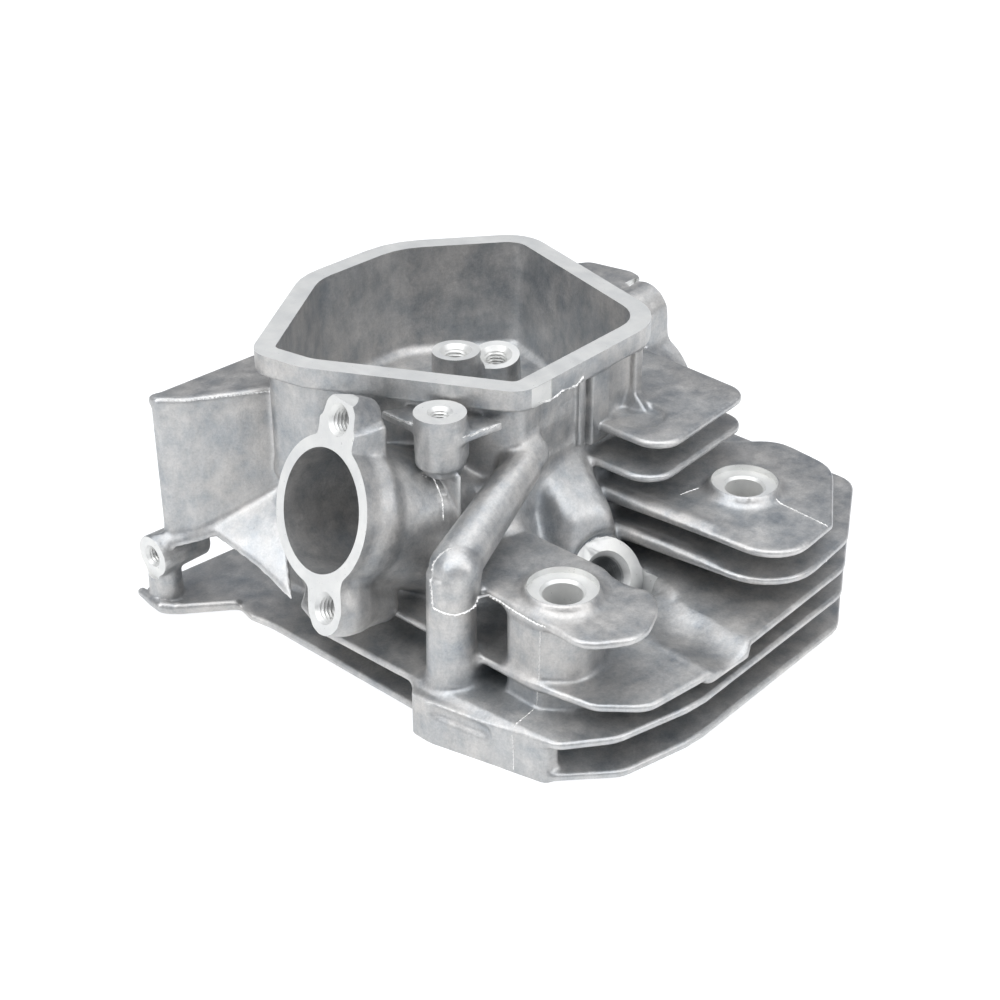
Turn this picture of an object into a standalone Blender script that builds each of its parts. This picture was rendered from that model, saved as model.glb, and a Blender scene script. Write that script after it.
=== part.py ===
"""Cylinder head of an air-cooled overhead-valve engine, bare of its valve gear.

The head is one die-cast aluminium casting with the pieces that are pressed into it:
two valve seat rings, two valve guides and the clip that holds the exhaust guide.
Lengths are in millimetres and are turned into metres as each mesh is made.
+Z runs up the cylinder axis from the gasket face, -X faces the intake side,
+X the exhaust side, -Y the spark plug side and +Y the push rod side.
"""

import math

import bmesh
import bpy
from mathutils import Matrix, Vector

MM = 0.001
GAP = 0.3                      # clearance between two meshes that touch

# The cylinder axis, seen from the part's origin near the middle of its outline
AXIS_X = -0.4
AXIS_Y = -13.1

# Heights above the gasket face
COVER_FACE_Z = 90.0            # machined rim that the rocker cover sits on
LIP_HEIGHT = 7.0
BOX_FLOOR_Z = 52.0
FLOOR_THICKNESS = 4.0
BOLT_FACE_Z = 46.0             # spot faces of the head bolts
FIN_THICKNESS = 2.4
FIN_Z = {"base": 0.6, "second": 12.8, "third": 22.2, "fourth": 32.5, "fifth": 42.7, "sixth": 52.9,
         "seventh": 63.0}

# Bores and bolts
BOLT_RADIUS = 5.8
BOLT_FACE_RADIUS = 10.2
BOLT_COLUMN_RADIUS = 12.5
FRONT_BOLTS = [(-41.3, -41.3), (41.3, -41.3)]
REAR_BOLTS = [(-34.0, 47.5), (34.0, 47.5)]
CHAMBER_RADIUS = 38.0
CHAMBER_DEPTH = 18.0
SPIGOT_RADIUS = 50.0

# Outlines in plan: corners (x, y, rounding radius)
RIM = [(-60, 68, 9), (-12, 100.5, 24), (28, 101.5, 30), (66, 73, 14), (45, -5, 20), (-23.5, -9.5, 9),
       (-56.5, 49, 20)]
LIP_OVERHANG = 4.0
WALL_THICKNESS = 3.3

BASE_PLATE = [(-86, 102.5, 8), (-87.5, 88, 6), (-83.5, 83.5, 3), (-68.5, 72, 3), (-70, 65, 2), (-68.5, 56, 8),
              (-66, -45, 6), (-63, -58, 4), (-48, -71, 10), (-22, -76, 30), (54, -72, 12), (87, -51, 9),
              (88, 34, 10), (62, 84, 18), (20, 97, 20)]
SECOND_FIN = [(-66, 44, 3), (-71, 28, 8), (-69, -14, 30), (-64, -60, 6), (-50, -70, 12), (-22, -76, 30),
              (54, -72, 12), (87, -51, 9), (88, 26, 10), (58, 66, 16), (-40, 66, 4)]
THIRD_FIN = [(-56, 10, 3), (-55.5, -62, 14), (-38, -73, 14), (-20, -76, 20), (54, -72, 12), (86, -52, 9),
             (86, 20, 10), (50, 60, 16), (-40, 50, 4)]
FOURTH_FIN = [(11, 10, 1), (11, -30, 60), (14.5, -77, 22), (54, -72, 12), (85, -53, 9), (84, 10, 8),
              (40, 40, 4)]
FIFTH_FIN = [(12, 10, 1), (11, -20, 60), (15, -76, 21), (43, -73, 2), (72, -53, 14), (74.5, -30, 12),
             (58, -14, 6), (50, 20, 4)]
SIXTH_FIN = [(9, 10, 1), (10, -31, 10), (62, -26, 8), (64, 18, 3), (40, 24, 1)]
SEVENTH_FIN = [(12.5, 10, 1), (14, -31, 9), (62, -26, 8), (64, 20, 3), (40, 24, 1)]
BOLT_TAB = [(-54, -4, 3), (-56, -62, 9), (-42, -72, 12), (-22, -62, 15), (-23, -4, 3)]
EXHAUST_EAR = [(50, 33, 1), (71, 34.5, 3), (83, 36.5, 3), (84.5, 42, 4), (81, 58, 5), (56, 72, 3)]
CORNER_BLOCK = [(-50, -8, 2), (-69, -9, 3), (-73.5, -13, 3), (-73.5, -20, 8), (-64, -56, 2),
                (-59.5, -57, 1), (-50, -46, 2)]
ROD_TUNNEL = [(-48, 48, 8), (-50, 73, 8), (-18, 88, 14), (24, 90, 12), (50, 70, 10), (46, 44, 8)]
ROD_SLOT = [(-20, 57, 6), (-20, 72, 6), (24, 72, 6), (24, 57, 6)]
INTAKE_TOP_BLOCK = [(-67, 15, 3), (-54, 13, 1), (-50, 22, 1), (-50, 34, 1), (-62, 34, 3)]

# Oil drain: the column's place, its height, and where the sloping tube meets the box
DRAIN = Vector((-61, -17, 0))
DRAIN_HEIGHT = 51.0
DRAIN_TUBE_END = Vector((6, 1.5, 71.5))
DRAIN_WEB = [(-62, -24), (-30, -24), (-30, -8), (-62, -10)]

# Air baffle beside the push rod side, in plan, and the shelf below it as rows (x, y, z)
BAFFLE = [(-47, 66.5), (-74, 82.5), (-80, 89), (-80, 92.5), (-77, 92.5), (-77, 90.5), (-72.5, 85.5),
          (-46, 70)]
BAFFLE_ROOF = [(-46, 68), (-74, 83), (-80, 89.5), (-80, 93), (-38, 93), (-30, 80)]
BAFFLE_LOW = 26.0
BAFFLE_TOP = 74.0
SHELF_UPPER = [(-47, 70, 43), (-61, 77.5, 36), (-73, 84, 30.5), (-84, 94, 26)]
SHELF_MIDDLE = [(-56, 62, 36), (-64, 70, 31), (-73, 80, 28.5), (-84.5, 92, 25.5)]
SHELF_LOWER = [(-67.5, 46, 17), (-68.5, 60, 23.5), (-71, 78, 27.5), (-85, 90, 25)]

# Small bosses: outer end of each and the way it points, or its foot and top
LUG_FACE = Vector((-85, 92.8, 19.5))
LUG_INWARD = Vector((1, 0, 0))
LUG_LENGTH = 18.5
LUG_COLUMN = Vector((-80.5, 93.5, 0))
COVER_BOSS = Vector((-42, 5.9, 85.5))
COVER_BOSS_WEB = [(-46, 27), (-46, 10), (-42, -2), (-26, -3), (-30, 20)]
ROCKER_STUDS = {
    "straight": (Vector((4, 46, 50)), Vector((4, 46, 76))),
    "leaning": (Vector((20.2, 42.8, 50)), Vector((16.5, 40.5, 72))),
}
ROCKER_HOLE_RADIUS = 3.4
ROCKER_HOLE_DEPTH = 15.0
SMALL_HOLE_RADIUS = 2.6

# Intake port: flange centre, upward tilt and turn of its face, stud places in the face
INTAKE_FACE = Vector((-72.4, 24.2, 58.6))
INTAKE_TILT = math.radians(18.1)
INTAKE_TURN = math.radians(7.9)
INTAKE_BORE_RADIUS = 17.8
INTAKE_RING_RADIUS = 22.2
INTAKE_STUDS = [(-1.3, 27.3), (12.0, -25.2)]
STUD_LOBE_RADIUS = 8.0
FLANGE_SIDES = 36
STUD_HOLE_RADIUS = 3.6
LOBE_TOP_CUT = [(-82, 4), (-48, 4), (-48, 48), (-82, 48)]    # the upper lobe ends level with the cover face
FLANGE_DEPTH = 12.0

# Exhaust port, a smaller flange on the far side
EXHAUST_FACE = Vector((79.0, 27.0, 49.0))
EXHAUST_TILT = math.radians(8.0)
EXHAUST_BORE_RADIUS = 14.5
EXHAUST_RING_RADIUS = 17.5
EXHAUST_STUDS = [(0.0, 26.0), (0.0, -26.0)]

# Valves: foot of each axis on the seat plane, direction up the stem, seat and guide sizes
INTAKE_FOOT = Vector((-19.0, 6.0, 10.5))
EXHAUST_FOOT = Vector((19.5, 6.0, 10.5))
INTAKE_STEM = Vector((-0.07, 0.20, 1.0)).normalized()
EXHAUST_STEM = Vector((0.10, 0.20, 1.0)).normalized()
INTAKE_SEAT = {"outer": 18.0, "inner": 15.0, "height": 7.0}
EXHAUST_SEAT = {"outer": 16.0, "inner": 12.8, "height": 7.0}
GUIDE_RADIUS = 5.5
GUIDE_BORE_RADIUS = 2.8
GUIDE_LENGTH = 32.0
GUIDE_START = 23.0             # along the stem, from the seat plane
CLIP_WIRE_RADIUS = 0.8
SPRING_POCKET_RADIUS = 8.6
SPRING_POCKET_FLOOR = 44.5     # along the stem, from the seat plane

# Spark plug
PLUG_FACE = Vector((-2.5, -25.0, 26.0))
PLUG_AXIS = Vector((-0.20, -0.82, 0.54)).normalized()
PLUG_FACE_RADIUS = 11.4
PLUG_HOLE_RADIUS = 6.6


def new_collection(name):
    collection = bpy.data.collections.new(name)
    bpy.context.scene.collection.children.link(collection)
    return collection


def clear_scene():
    for item in list(bpy.data.objects):
        bpy.data.objects.remove(item, do_unlink=True)


def direction_frame(origin, axis):
    """Matrix whose +Z runs along axis and whose origin is in millimetres."""
    turn = Vector(axis).to_track_quat("Z", "Y").to_matrix().to_4x4()
    return Matrix.Translation(Vector(origin)) @ turn


def face_frame(origin, normal):
    """Matrix of a port face: +Z is its normal, +Y runs up the face."""
    normal = Vector(normal).normalized()
    up = (Vector((0, 0, 1)) - normal * normal.z).normalized()
    side = up.cross(normal)
    turn = Matrix((side, up, normal)).transposed().to_4x4()
    return Matrix.Translation(Vector(origin)) @ turn


def rounded(corners, step=math.radians(40)):
    """Points of a closed outline whose corners (x, y, radius) are rounded by arcs."""
    points = []
    count = len(corners)
    for index, (x, y, radius) in enumerate(corners):
        here = Vector((x, y))
        before = Vector(corners[index - 1][:2]) - here
        after = Vector(corners[(index + 1) % count][:2]) - here
        half = before.angle(after) / 2
        cut = min(radius / math.tan(half), before.length * 0.49, after.length * 0.49)
        radius = cut * math.tan(half)
        start = here + before.normalized() * cut
        middle = here + (before.normalized() + after.normalized()).normalized() * (radius / math.sin(half))
        sweep = math.pi - 2 * half
        steps = max(1, round(sweep / step))
        arm = start - middle
        turn = 1 if before.cross(after) < 0 else -1
        for number in range(steps + 1):
            angle = turn * sweep * number / steps
            c, s = math.cos(angle), math.sin(angle)
            points.append(middle + Vector((arm.x * c - arm.y * s, arm.x * s + arm.y * c)))
    return points


def inset(corners, distance):
    """The same outline with every side moved inwards by distance."""
    area = sum(corners[i - 1][0] * c[1] - c[0] * corners[i - 1][1] for i, c in enumerate(corners))
    side = 1 if area > 0 else -1
    moved = []
    for index, (x, y, radius) in enumerate(corners):
        here = Vector((x, y))
        before = (here - Vector(corners[index - 1][:2])).normalized()
        after = (Vector(corners[(index + 1) % len(corners)][:2]) - here).normalized()
        normal_before = Vector((-before.y, before.x)) * side
        normal_after = Vector((-after.y, after.x)) * side
        bisector = (normal_before + normal_after).normalized()
        point = here + bisector * (distance / bisector.dot(normal_before))
        moved.append((point.x, point.y, max(radius - distance, 1.0)))
    return moved


def mesh_object(name, mesh):
    item = bpy.data.objects.new(name, mesh)
    tool_collection.objects.link(item)
    item.hide_render = True
    item.display_type = "WIRE"
    return item


def curve_to_mesh(curve_object, name):
    """A curve as a mesh object with its caps welded."""
    graph = bpy.context.evaluated_depsgraph_get()
    mesh = bpy.data.meshes.new_from_object(curve_object.evaluated_get(graph))
    work = bmesh.new()
    work.from_mesh(mesh)
    bmesh.ops.remove_doubles(work, verts=work.verts, dist=0.00001)
    bmesh.ops.recalc_face_normals(work, faces=work.faces)
    work.to_mesh(mesh)
    work.free()
    item = mesh_object(name, mesh)
    item.matrix_world = curve_object.matrix_world
    bpy.data.objects.remove(curve_object, do_unlink=True)
    return item


def bake_matrix(item, matrix):
    """Moves a tool's mesh by a matrix whose translation is in millimetres."""
    scaled = matrix.copy()
    scaled.translation = matrix.translation * MM
    item.data.transform(scaled)
    return item


def plate(name, points, low, high, frame=None):
    """A flat outline, given as points, extruded from low to high."""
    curve = bpy.data.curves.new(name, "CURVE")
    curve.dimensions = "2D"
    curve.fill_mode = "BOTH"
    curve.extrude = (high - low) / 2 * MM
    spline = curve.splines.new("POLY")
    spline.points.add(len(points) - 1)
    for slot, point in zip(spline.points, points):
        slot.co = (point[0] * MM, point[1] * MM, 0.0, 1.0)
    spline.use_cyclic_u = True
    item = bpy.data.objects.new(name, curve)
    tool_collection.objects.link(item)
    bpy.context.view_layer.update()
    solid = curve_to_mesh(item, name)
    solid.data.transform(Matrix.Translation((0, 0, (low + high) / 2 * MM)))
    return bake_matrix(solid, frame) if frame else solid


def rod(name, start, end, radius, end_radius=None, sides=14):
    """A cylinder or a cone between two points."""
    start, end = Vector(start), Vector(end)
    end_radius = radius if end_radius is None else end_radius
    work = bmesh.new()
    bmesh.ops.create_cone(work, cap_ends=True, segments=sides, radius1=radius * MM, radius2=end_radius * MM,
                          depth=(end - start).length * MM)
    mesh = bpy.data.meshes.new(name)
    work.to_mesh(mesh)
    work.free()
    return bake_matrix(mesh_object(name, mesh), direction_frame((start + end) / 2, end - start))


def ball(name, centre, radius, sides=20):
    work = bmesh.new()
    bmesh.ops.create_uvsphere(work, u_segments=sides, v_segments=sides // 2, radius=radius * MM)
    mesh = bpy.data.meshes.new(name)
    work.to_mesh(mesh)
    work.free()
    return bake_matrix(mesh_object(name, mesh), Matrix.Translation(Vector(centre)))


def duct(name, route):
    """A tube along a route of (point, radius), as one closed solid."""
    curve = bpy.data.curves.new(name, "CURVE")
    curve.dimensions = "3D"
    curve.bevel_depth = MM
    curve.bevel_resolution = 2
    curve.use_fill_caps = True
    spline = curve.splines.new("POLY")
    spline.points.add(len(route) - 1)
    for slot, (point, radius) in zip(spline.points, route):
        slot.co = (*(Vector(point) * MM), 1.0)
        slot.radius = radius
    item = bpy.data.objects.new(name, curve)
    tool_collection.objects.link(item)
    bpy.context.view_layer.update()
    return curve_to_mesh(item, name)


def sheet(name, rows, thickness):
    """A curved sheet through rows of points, thickened downwards."""
    work = bmesh.new()
    grid = [[work.verts.new(Vector(point) * MM) for point in row] for row in rows]
    for upper, lower in zip(grid, grid[1:]):
        for index in range(len(upper) - 1):
            work.faces.new((upper[index], upper[index + 1], lower[index + 1], lower[index]))
    bmesh.ops.recalc_face_normals(work, faces=work.faces)
    if sum(face.normal.z for face in work.faces) < 0:
        bmesh.ops.reverse_faces(work, faces=work.faces)
    mesh = bpy.data.meshes.new(name)
    work.to_mesh(mesh)
    work.free()
    item = mesh_object(name, mesh)
    solid = item.modifiers.new("thickness", "SOLIDIFY")
    solid.thickness = thickness * MM
    solid.offset = -1.0
    return item


def smooth_route(points, steps=3):
    """Catmull-Rom points through a list of (point, radius)."""
    values = [(*point, radius) for point, radius in points]
    padded = [values[0]] + values + [values[-1]]
    route = []
    for index in range(1, len(padded) - 2):
        for step in range(steps):
            t = step / steps
            row = []
            for a, b, c, d in zip(*padded[index - 1:index + 3]):
                row.append(0.5 * (2 * b + (c - a) * t + (2 * a - 5 * b + 4 * c - d) * t * t
                                  + (3 * b - a - 3 * c + d) * t ** 3))
            route.append((Vector(row[:3]), row[3]))
    route.append((Vector(values[-1][:3]), values[-1][3]))
    return route


def intake_normal():
    level = math.cos(INTAKE_TILT)
    return Vector((-level * math.cos(INTAKE_TURN), level * math.sin(INTAKE_TURN), math.sin(INTAKE_TILT)))


def exhaust_normal():
    return Vector((math.cos(EXHAUST_TILT), 0.0, math.sin(EXHAUST_TILT)))


def lobe_reach(stud, radius, angle):
    """How far the round-ended lobe over a stud reaches from the bore's centre at an angle."""
    length = math.hypot(*stud)
    turn = angle - math.atan2(stud[1], stud[0])
    if math.cos(turn) <= 0:
        return 0.0
    if radius * math.cos(turn) < length * abs(math.sin(turn)):
        return radius / abs(math.sin(turn))
    return length * math.cos(turn) + math.sqrt(max(radius ** 2 - (length * math.sin(turn)) ** 2, 0.0))


def port_flange(name, centre, normal, ring, studs, depth):
    """Flange whose outline is the ring round the bore and a lobe over each stud."""
    outline = []
    for number in range(FLANGE_SIDES):
        angle = 2 * math.pi * number / FLANGE_SIDES
        reach = max(ring, *(lobe_reach(stud, STUD_LOBE_RADIUS, angle) for stud in studs))
        outline.append((reach * math.cos(angle), reach * math.sin(angle)))
    return [plate(name + "_flange", outline, -depth, 0, face_frame(centre, normal))]


def fins():
    outlines = [("base", BASE_PLATE), ("second", SECOND_FIN), ("third", THIRD_FIN), ("fourth", FOURTH_FIN),
                ("fifth", FIFTH_FIN), ("sixth", SIXTH_FIN), ("seventh", SEVENTH_FIN)]
    parts = []
    for name, corners in outlines:
        low = FIN_Z[name]
        parts.append(plate(name + "_fin", rounded(corners), low, low + FIN_THICKNESS))
    low = FIN_Z["fifth"]
    parts.append(plate("bolt_tab", rounded(BOLT_TAB), low, low + FIN_THICKNESS))
    return parts


def core():
    """The solid middle that holds the chamber, the ports and the push rod tunnel."""
    return [
        rod("chamber_body", (0, 0, 0), (0, 0, 25), SPIGOT_RADIUS, 46.0, 28),
        rod("upper_body", (2, 14, 20), (2, 20, 51), 34.0, 26.0, 20),
        rod("plug_hump", (-3, -6, 20), (-3, -4, 51), 17.0, 12.0, 16),
        rod("intake_hump", (-24, 4, 20), (-24, 10, 51), 22.0, 15.0, 16),
        rod("plug_boss", PLUG_FACE - PLUG_AXIS * 22, PLUG_FACE, 15.5, 13.0, 16),
        plate("rod_tunnel", rounded(ROD_TUNNEL), 0, BOX_FLOOR_Z - 1),
        plate("corner_block", rounded(CORNER_BLOCK), 0, FIN_Z["second"] + 1.2),
    ]


def rocker_box():
    wall = inset(RIM, LIP_OVERHANG)
    return [
        plate("box_wall", rounded(wall), BOX_FLOOR_Z - FLOOR_THICKNESS, COVER_FACE_Z - LIP_HEIGHT + 1),
        plate("box_lip", rounded(RIM), COVER_FACE_Z - LIP_HEIGHT, COVER_FACE_Z),
    ]


def columns():
    """Bolt columns and the return drain that rises beside the intake port."""
    parts = []
    for number, (x, y) in enumerate(FRONT_BOLTS):
        tab = FIN_Z["fifth"]
        parts.append(rod(f"bolt_column_{number}", (x, y, 0), (x, y, tab + 1), BOLT_COLUMN_RADIUS, sides=16))
        parts.append(rod(f"bolt_pad_{number}", (x, y, tab), (x, y, BOLT_FACE_Z),
                         BOLT_FACE_RADIUS + 0.8, BOLT_FACE_RADIUS, 20))
    top = DRAIN + Vector((0, 0, DRAIN_HEIGHT))
    parts += [
        rod("drain_column", DRAIN + Vector((0, 0, 1)), top - Vector((0, 0, 2)), 7.6, 6.8),
        ball("drain_elbow", top, 7.1, 14),
        rod("drain_tube", top - Vector((2, 0.5, 1)), DRAIN_TUBE_END, 7.5, 4.8),
        plate("drain_web", DRAIN_WEB, 12, 24),
    ]
    return parts


def ports():
    inward = -intake_normal()
    back = INTAKE_FACE + inward * (FLANGE_DEPTH - 1)
    outward = exhaust_normal()
    rear = EXHAUST_FACE - outward * (FLANGE_DEPTH - 1)
    parts = port_flange("intake", INTAKE_FACE, -inward, INTAKE_RING_RADIUS, INTAKE_STUDS, FLANGE_DEPTH)
    parts += port_flange("exhaust", EXHAUST_FACE, outward, EXHAUST_RING_RADIUS, EXHAUST_STUDS, FLANGE_DEPTH)
    parts += [
        rod("intake_runner", back, (-22, 13, 36), 20.8, 22.0, 18),
        rod("exhaust_runner", rear, (22, 14, 34), 18.6, 21.0, 16),
        plate("intake_top_block", rounded(INTAKE_TOP_BLOCK), 66, COVER_FACE_Z - LIP_HEIGHT + 1),
    ]
    return parts


def brackets():
    """The air baffle with its lug on the push rod side, and the cover boss by the intake port."""
    return [
        plate("baffle", BAFFLE, BAFFLE_LOW, BAFFLE_TOP),
        plate("baffle_roof", BAFFLE_ROOF, BAFFLE_TOP - FIN_THICKNESS, BAFFLE_TOP),
        sheet("baffle_shelf", [SHELF_UPPER, SHELF_MIDDLE, SHELF_LOWER], 2.6),
        rod("baffle_root", (-50, 52, 14), (-47, 62, 50), 7, 7, 10),
        rod("lug", LUG_FACE, LUG_FACE + LUG_INWARD * LUG_LENGTH, 6.5, 6.5, 14),
        rod("lug_column", LUG_COLUMN + Vector((0, 0, 1)), LUG_COLUMN + Vector((0, 0, 19)), 5.2, 4.8, 10),
        rod("cover_boss", COVER_BOSS - Vector((0, 0, 19.5)), COVER_BOSS, 7.6, 7.6, 16),
        plate("exhaust_ear", rounded(EXHAUST_EAR), 77.4, 79.8),
        plate("cover_boss_web", COVER_BOSS_WEB, 77.5, 80),
    ]


def inner_bosses():
    """Rocker stud bosses and guide bosses on the floor of the box."""
    parts = []
    for name, (foot, top) in ROCKER_STUDS.items():
        parts.append(rod("rocker_boss_" + name, foot, top, 7.9, 7.4, 16))
    for name, foot, stem in (("intake", INTAKE_FOOT, INTAKE_STEM), ("exhaust", EXHAUST_FOOT, EXHAUST_STEM)):
        parts.append(rod(name + "_guide_boss", foot + stem * 34, foot + stem * 46, 10.5, 9.0, 16))
    return parts


def port_route(face, normal, bore, foot, stem, throat):
    """Centre line and radius of a port, from outside its face to below its seat."""
    return smooth_route([
        (face + normal * 4, bore), (face, bore), (face - normal * 22, bore * 0.97),
        (foot + stem * 27 + Vector((normal.x, normal.y, 0)) * 9, (bore + throat) / 2),
        (foot + stem * 17, throat), (foot + stem * 4, throat),
    ])


def valve_cutters(name, foot, stem, seat):
    pocket = seat["outer"] + GAP
    floor = foot + stem * SPRING_POCKET_FLOOR
    return [
        rod(name + "_seat_pocket", foot - stem * 14, foot + stem * (seat["height"] + GAP), pocket, sides=28),
        rod(name + "_guide_hole", foot + stem * 20, foot + stem * 64, GUIDE_RADIUS + GAP, sides=20),
        rod(name + "_spring_pocket", floor, foot + stem * 48, SPRING_POCKET_RADIUS, sides=20),
    ]


def box_cutter():
    inside = rounded(inset(RIM, LIP_OVERHANG + WALL_THICKNESS))
    return [plate("box_inside", inside, BOX_FLOOR_Z, COVER_FACE_Z + 5)]


def hole_cutters():
    intake, exhaust = intake_normal(), exhaust_normal()
    intake_throat = INTAKE_SEAT["inner"] - 1.0
    exhaust_throat = EXHAUST_SEAT["inner"] - 1.0
    intake_route = port_route(INTAKE_FACE, intake, INTAKE_BORE_RADIUS, INTAKE_FOOT, INTAKE_STEM,
                              intake_throat)
    exhaust_route = port_route(EXHAUST_FACE, exhaust, EXHAUST_BORE_RADIUS, EXHAUST_FOOT, EXHAUST_STEM,
                               exhaust_throat)
    curve_radius = (CHAMBER_RADIUS ** 2 + CHAMBER_DEPTH ** 2) / (2 * CHAMBER_DEPTH)
    tools = [
        ball("chamber", (0, 0, CHAMBER_DEPTH - curve_radius), curve_radius, 24),
        duct("intake_port", intake_route),
        duct("exhaust_port", exhaust_route),
        rod("plug_hole", PLUG_FACE - PLUG_AXIS * 30, PLUG_FACE + PLUG_AXIS * 2, PLUG_HOLE_RADIUS, sides=16),
        rod("plug_access", PLUG_FACE, PLUG_FACE + PLUG_AXIS * 60, PLUG_FACE_RADIUS, sides=20),
        plate("rod_slot", rounded(ROD_SLOT), -2, BOX_FLOOR_Z + 2),
        plate("lobe_top", LOBE_TOP_CUT, COVER_FACE_Z, COVER_FACE_Z + 6),
        rod("lug_hole", LUG_FACE - LUG_INWARD * 3, LUG_FACE + LUG_INWARD * 13, SMALL_HOLE_RADIUS, sides=12),
        rod("cover_boss_hole", COVER_BOSS - Vector((0, 0, 13.5)), COVER_BOSS + Vector((0, 0, 2.5)),
            SMALL_HOLE_RADIUS, sides=12),
    ]
    for name, (foot, top) in ROCKER_STUDS.items():
        up = (top - foot).normalized()
        bottom = top - up * ROCKER_HOLE_DEPTH
        tools.append(rod("rocker_hole_" + name, bottom, top + up * 2, ROCKER_HOLE_RADIUS, sides=12))
    for number, (x, y) in enumerate(FRONT_BOLTS + REAR_BOLTS):
        tools.append(rod(f"bolt_hole_{number}", (x, y, -2), (x, y, 60), BOLT_RADIUS, sides=16))
    for normal, centre, studs, label in ((intake, INTAKE_FACE, INTAKE_STUDS, "intake"),
                                         (exhaust, EXHAUST_FACE, EXHAUST_STUDS, "exhaust")):
        frame = face_frame(centre, normal)
        for number, (across, up) in enumerate(studs):
            mouth = frame @ Vector((across, up, 1))
            end = frame @ Vector((across, up, -11))
            tools.append(rod(f"{label}_stud_hole_{number}", mouth, end, STUD_HOLE_RADIUS, sides=12))
    tools += valve_cutters("intake", INTAKE_FOOT, INTAKE_STEM, INTAKE_SEAT)
    tools += valve_cutters("exhaust", EXHAUST_FOOT, EXHAUST_STEM, EXHAUST_SEAT)
    return tools


def add_boolean(target, name, tools, operation):
    """Joins or cuts the target with a whole group of tools at once."""
    group = bpy.data.collections.new(name)
    tool_collection.children.link(group)
    for tool in tools:
        tool_collection.objects.unlink(tool)
        group.objects.link(tool)
        tool.location = target.location
    step = target.modifiers.new(name, "BOOLEAN")
    step.operand_type = "COLLECTION"
    step.collection = group
    step.operation = operation
    step.solver = "EXACT"


def ring(name, foot, stem, profile, sides=36):
    """A turned piece: profile (radius, height) runs down its outer side and up its bore."""
    mesh = bpy.data.meshes.new(name)
    count = len(profile)
    mesh.from_pydata([(radius * MM, 0.0, height * MM) for radius, height in profile],
                     [(n, (n + 1) % count) for n in range(count)], [])
    item = bpy.data.objects.new(name, mesh)
    part_collection.objects.link(item)
    item.matrix_world = placed(direction_frame(foot, stem))
    turn = item.modifiers.new("turn", "SCREW")
    turn.steps = sides
    turn.render_steps = sides
    turn.merge_threshold = 0.00001
    turn.use_merge_vertices = True
    turn.use_normal_calculate = True
    return item


def placed(matrix):
    """A matrix in millimetres about the cylinder axis, as metres about the head's middle."""
    moved = matrix.copy()
    moved.translation = (matrix.translation + Vector((AXIS_X, AXIS_Y, 0))) * MM
    return moved


def seat_ring(name, foot, stem, seat):
    outer, inner, height = seat["outer"], seat["inner"], seat["height"]
    edge, chamfer = 0.5, 2.0
    return ring(name, foot, stem, [(outer - edge, height), (outer, height - edge), (outer, 0),
                                   (inner + chamfer, 0), (inner, chamfer), (inner, height)])


def guide(name, foot, stem):
    low, high = GUIDE_START, GUIDE_START + GUIDE_LENGTH
    r, hole = GUIDE_RADIUS, GUIDE_BORE_RADIUS
    return ring(name, foot, stem, [(r - 1.0, high), (r, high - 1.5), (r, low + 3), (r - 1.2, low),
                                   (hole, low), (hole, high)], 24)


def clip(name, foot, stem):
    """Wire ring that sits round the guide on the floor of its spring pocket."""
    wire, height = CLIP_WIRE_RADIUS, SPRING_POCKET_FLOOR + CLIP_WIRE_RADIUS + GAP
    middle = GUIDE_RADIUS + GAP + wire
    profile = [(middle + wire * math.cos(a), height + wire * math.sin(a))
               for a in (math.pi / 2 - 2 * math.pi * n / 8 for n in range(8))]
    return ring(name, foot, stem, profile, 24)


def material(name, colour, metallic, roughness):
    item = bpy.data.materials.new(name)
    item.use_nodes = True
    shader = item.node_tree.nodes["Principled BSDF"]
    shader.inputs["Base Color"].default_value = (*colour, 1.0)
    shader.inputs["Metallic"].default_value = metallic
    shader.inputs["Roughness"].default_value = roughness
    return item


def casting():
    """Joins the outside, hollows the rocker box, adds the bosses in it, then drills everything."""
    first, *others = core() + fins() + rocker_box() + columns() + ports() + brackets()
    item = bpy.data.objects.new("head_casting", first.data)
    part_collection.objects.link(item)
    item.matrix_world = placed(Matrix.Identity(4))
    add_boolean(item, "outside", others, "UNION")
    add_boolean(item, "box_cut", box_cutter(), "DIFFERENCE")
    add_boolean(item, "inner_bosses", inner_bosses(), "UNION")
    add_boolean(item, "drilling", hole_cutters(), "DIFFERENCE")
    weld = item.modifiers.new("weld", "WELD")
    weld.merge_threshold = 0.00002
    return item


def finish(item, look):
    item.data.materials.clear()
    item.data.materials.append(look)
    item.data.shade_smooth()
    item.data.set_sharp_from_angle(angle=math.radians(35))


def build():
    aluminium = material("cast_aluminium", (0.60, 0.61, 0.62), 0.9, 0.42)
    sintered = material("sintered_steel", (0.33, 0.32, 0.30), 1.0, 0.35)
    iron = material("guide_iron", (0.28, 0.27, 0.26), 1.0, 0.4)
    spring = material("spring_steel", (0.20, 0.20, 0.21), 1.0, 0.3)
    finish(casting(), aluminium)
    finish(seat_ring("intake_valve_seat", INTAKE_FOOT, INTAKE_STEM, INTAKE_SEAT), sintered)
    finish(seat_ring("exhaust_valve_seat", EXHAUST_FOOT, EXHAUST_STEM, EXHAUST_SEAT), sintered)
    finish(guide("intake_valve_guide", INTAKE_FOOT, INTAKE_STEM), iron)
    finish(guide("exhaust_valve_guide", EXHAUST_FOOT, EXHAUST_STEM), iron)
    finish(clip("valve_guide_clip", EXHAUST_FOOT, EXHAUST_STEM), spring)


clear_scene()
part_collection = new_collection("cylinder_head")
tool_collection = new_collection("cylinder_head_tools")
build()
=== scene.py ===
import math
from collections import namedtuple

import bmesh
import bpy
import numpy as np
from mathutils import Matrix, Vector
from mathutils.bvhtree import BVHTree


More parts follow.
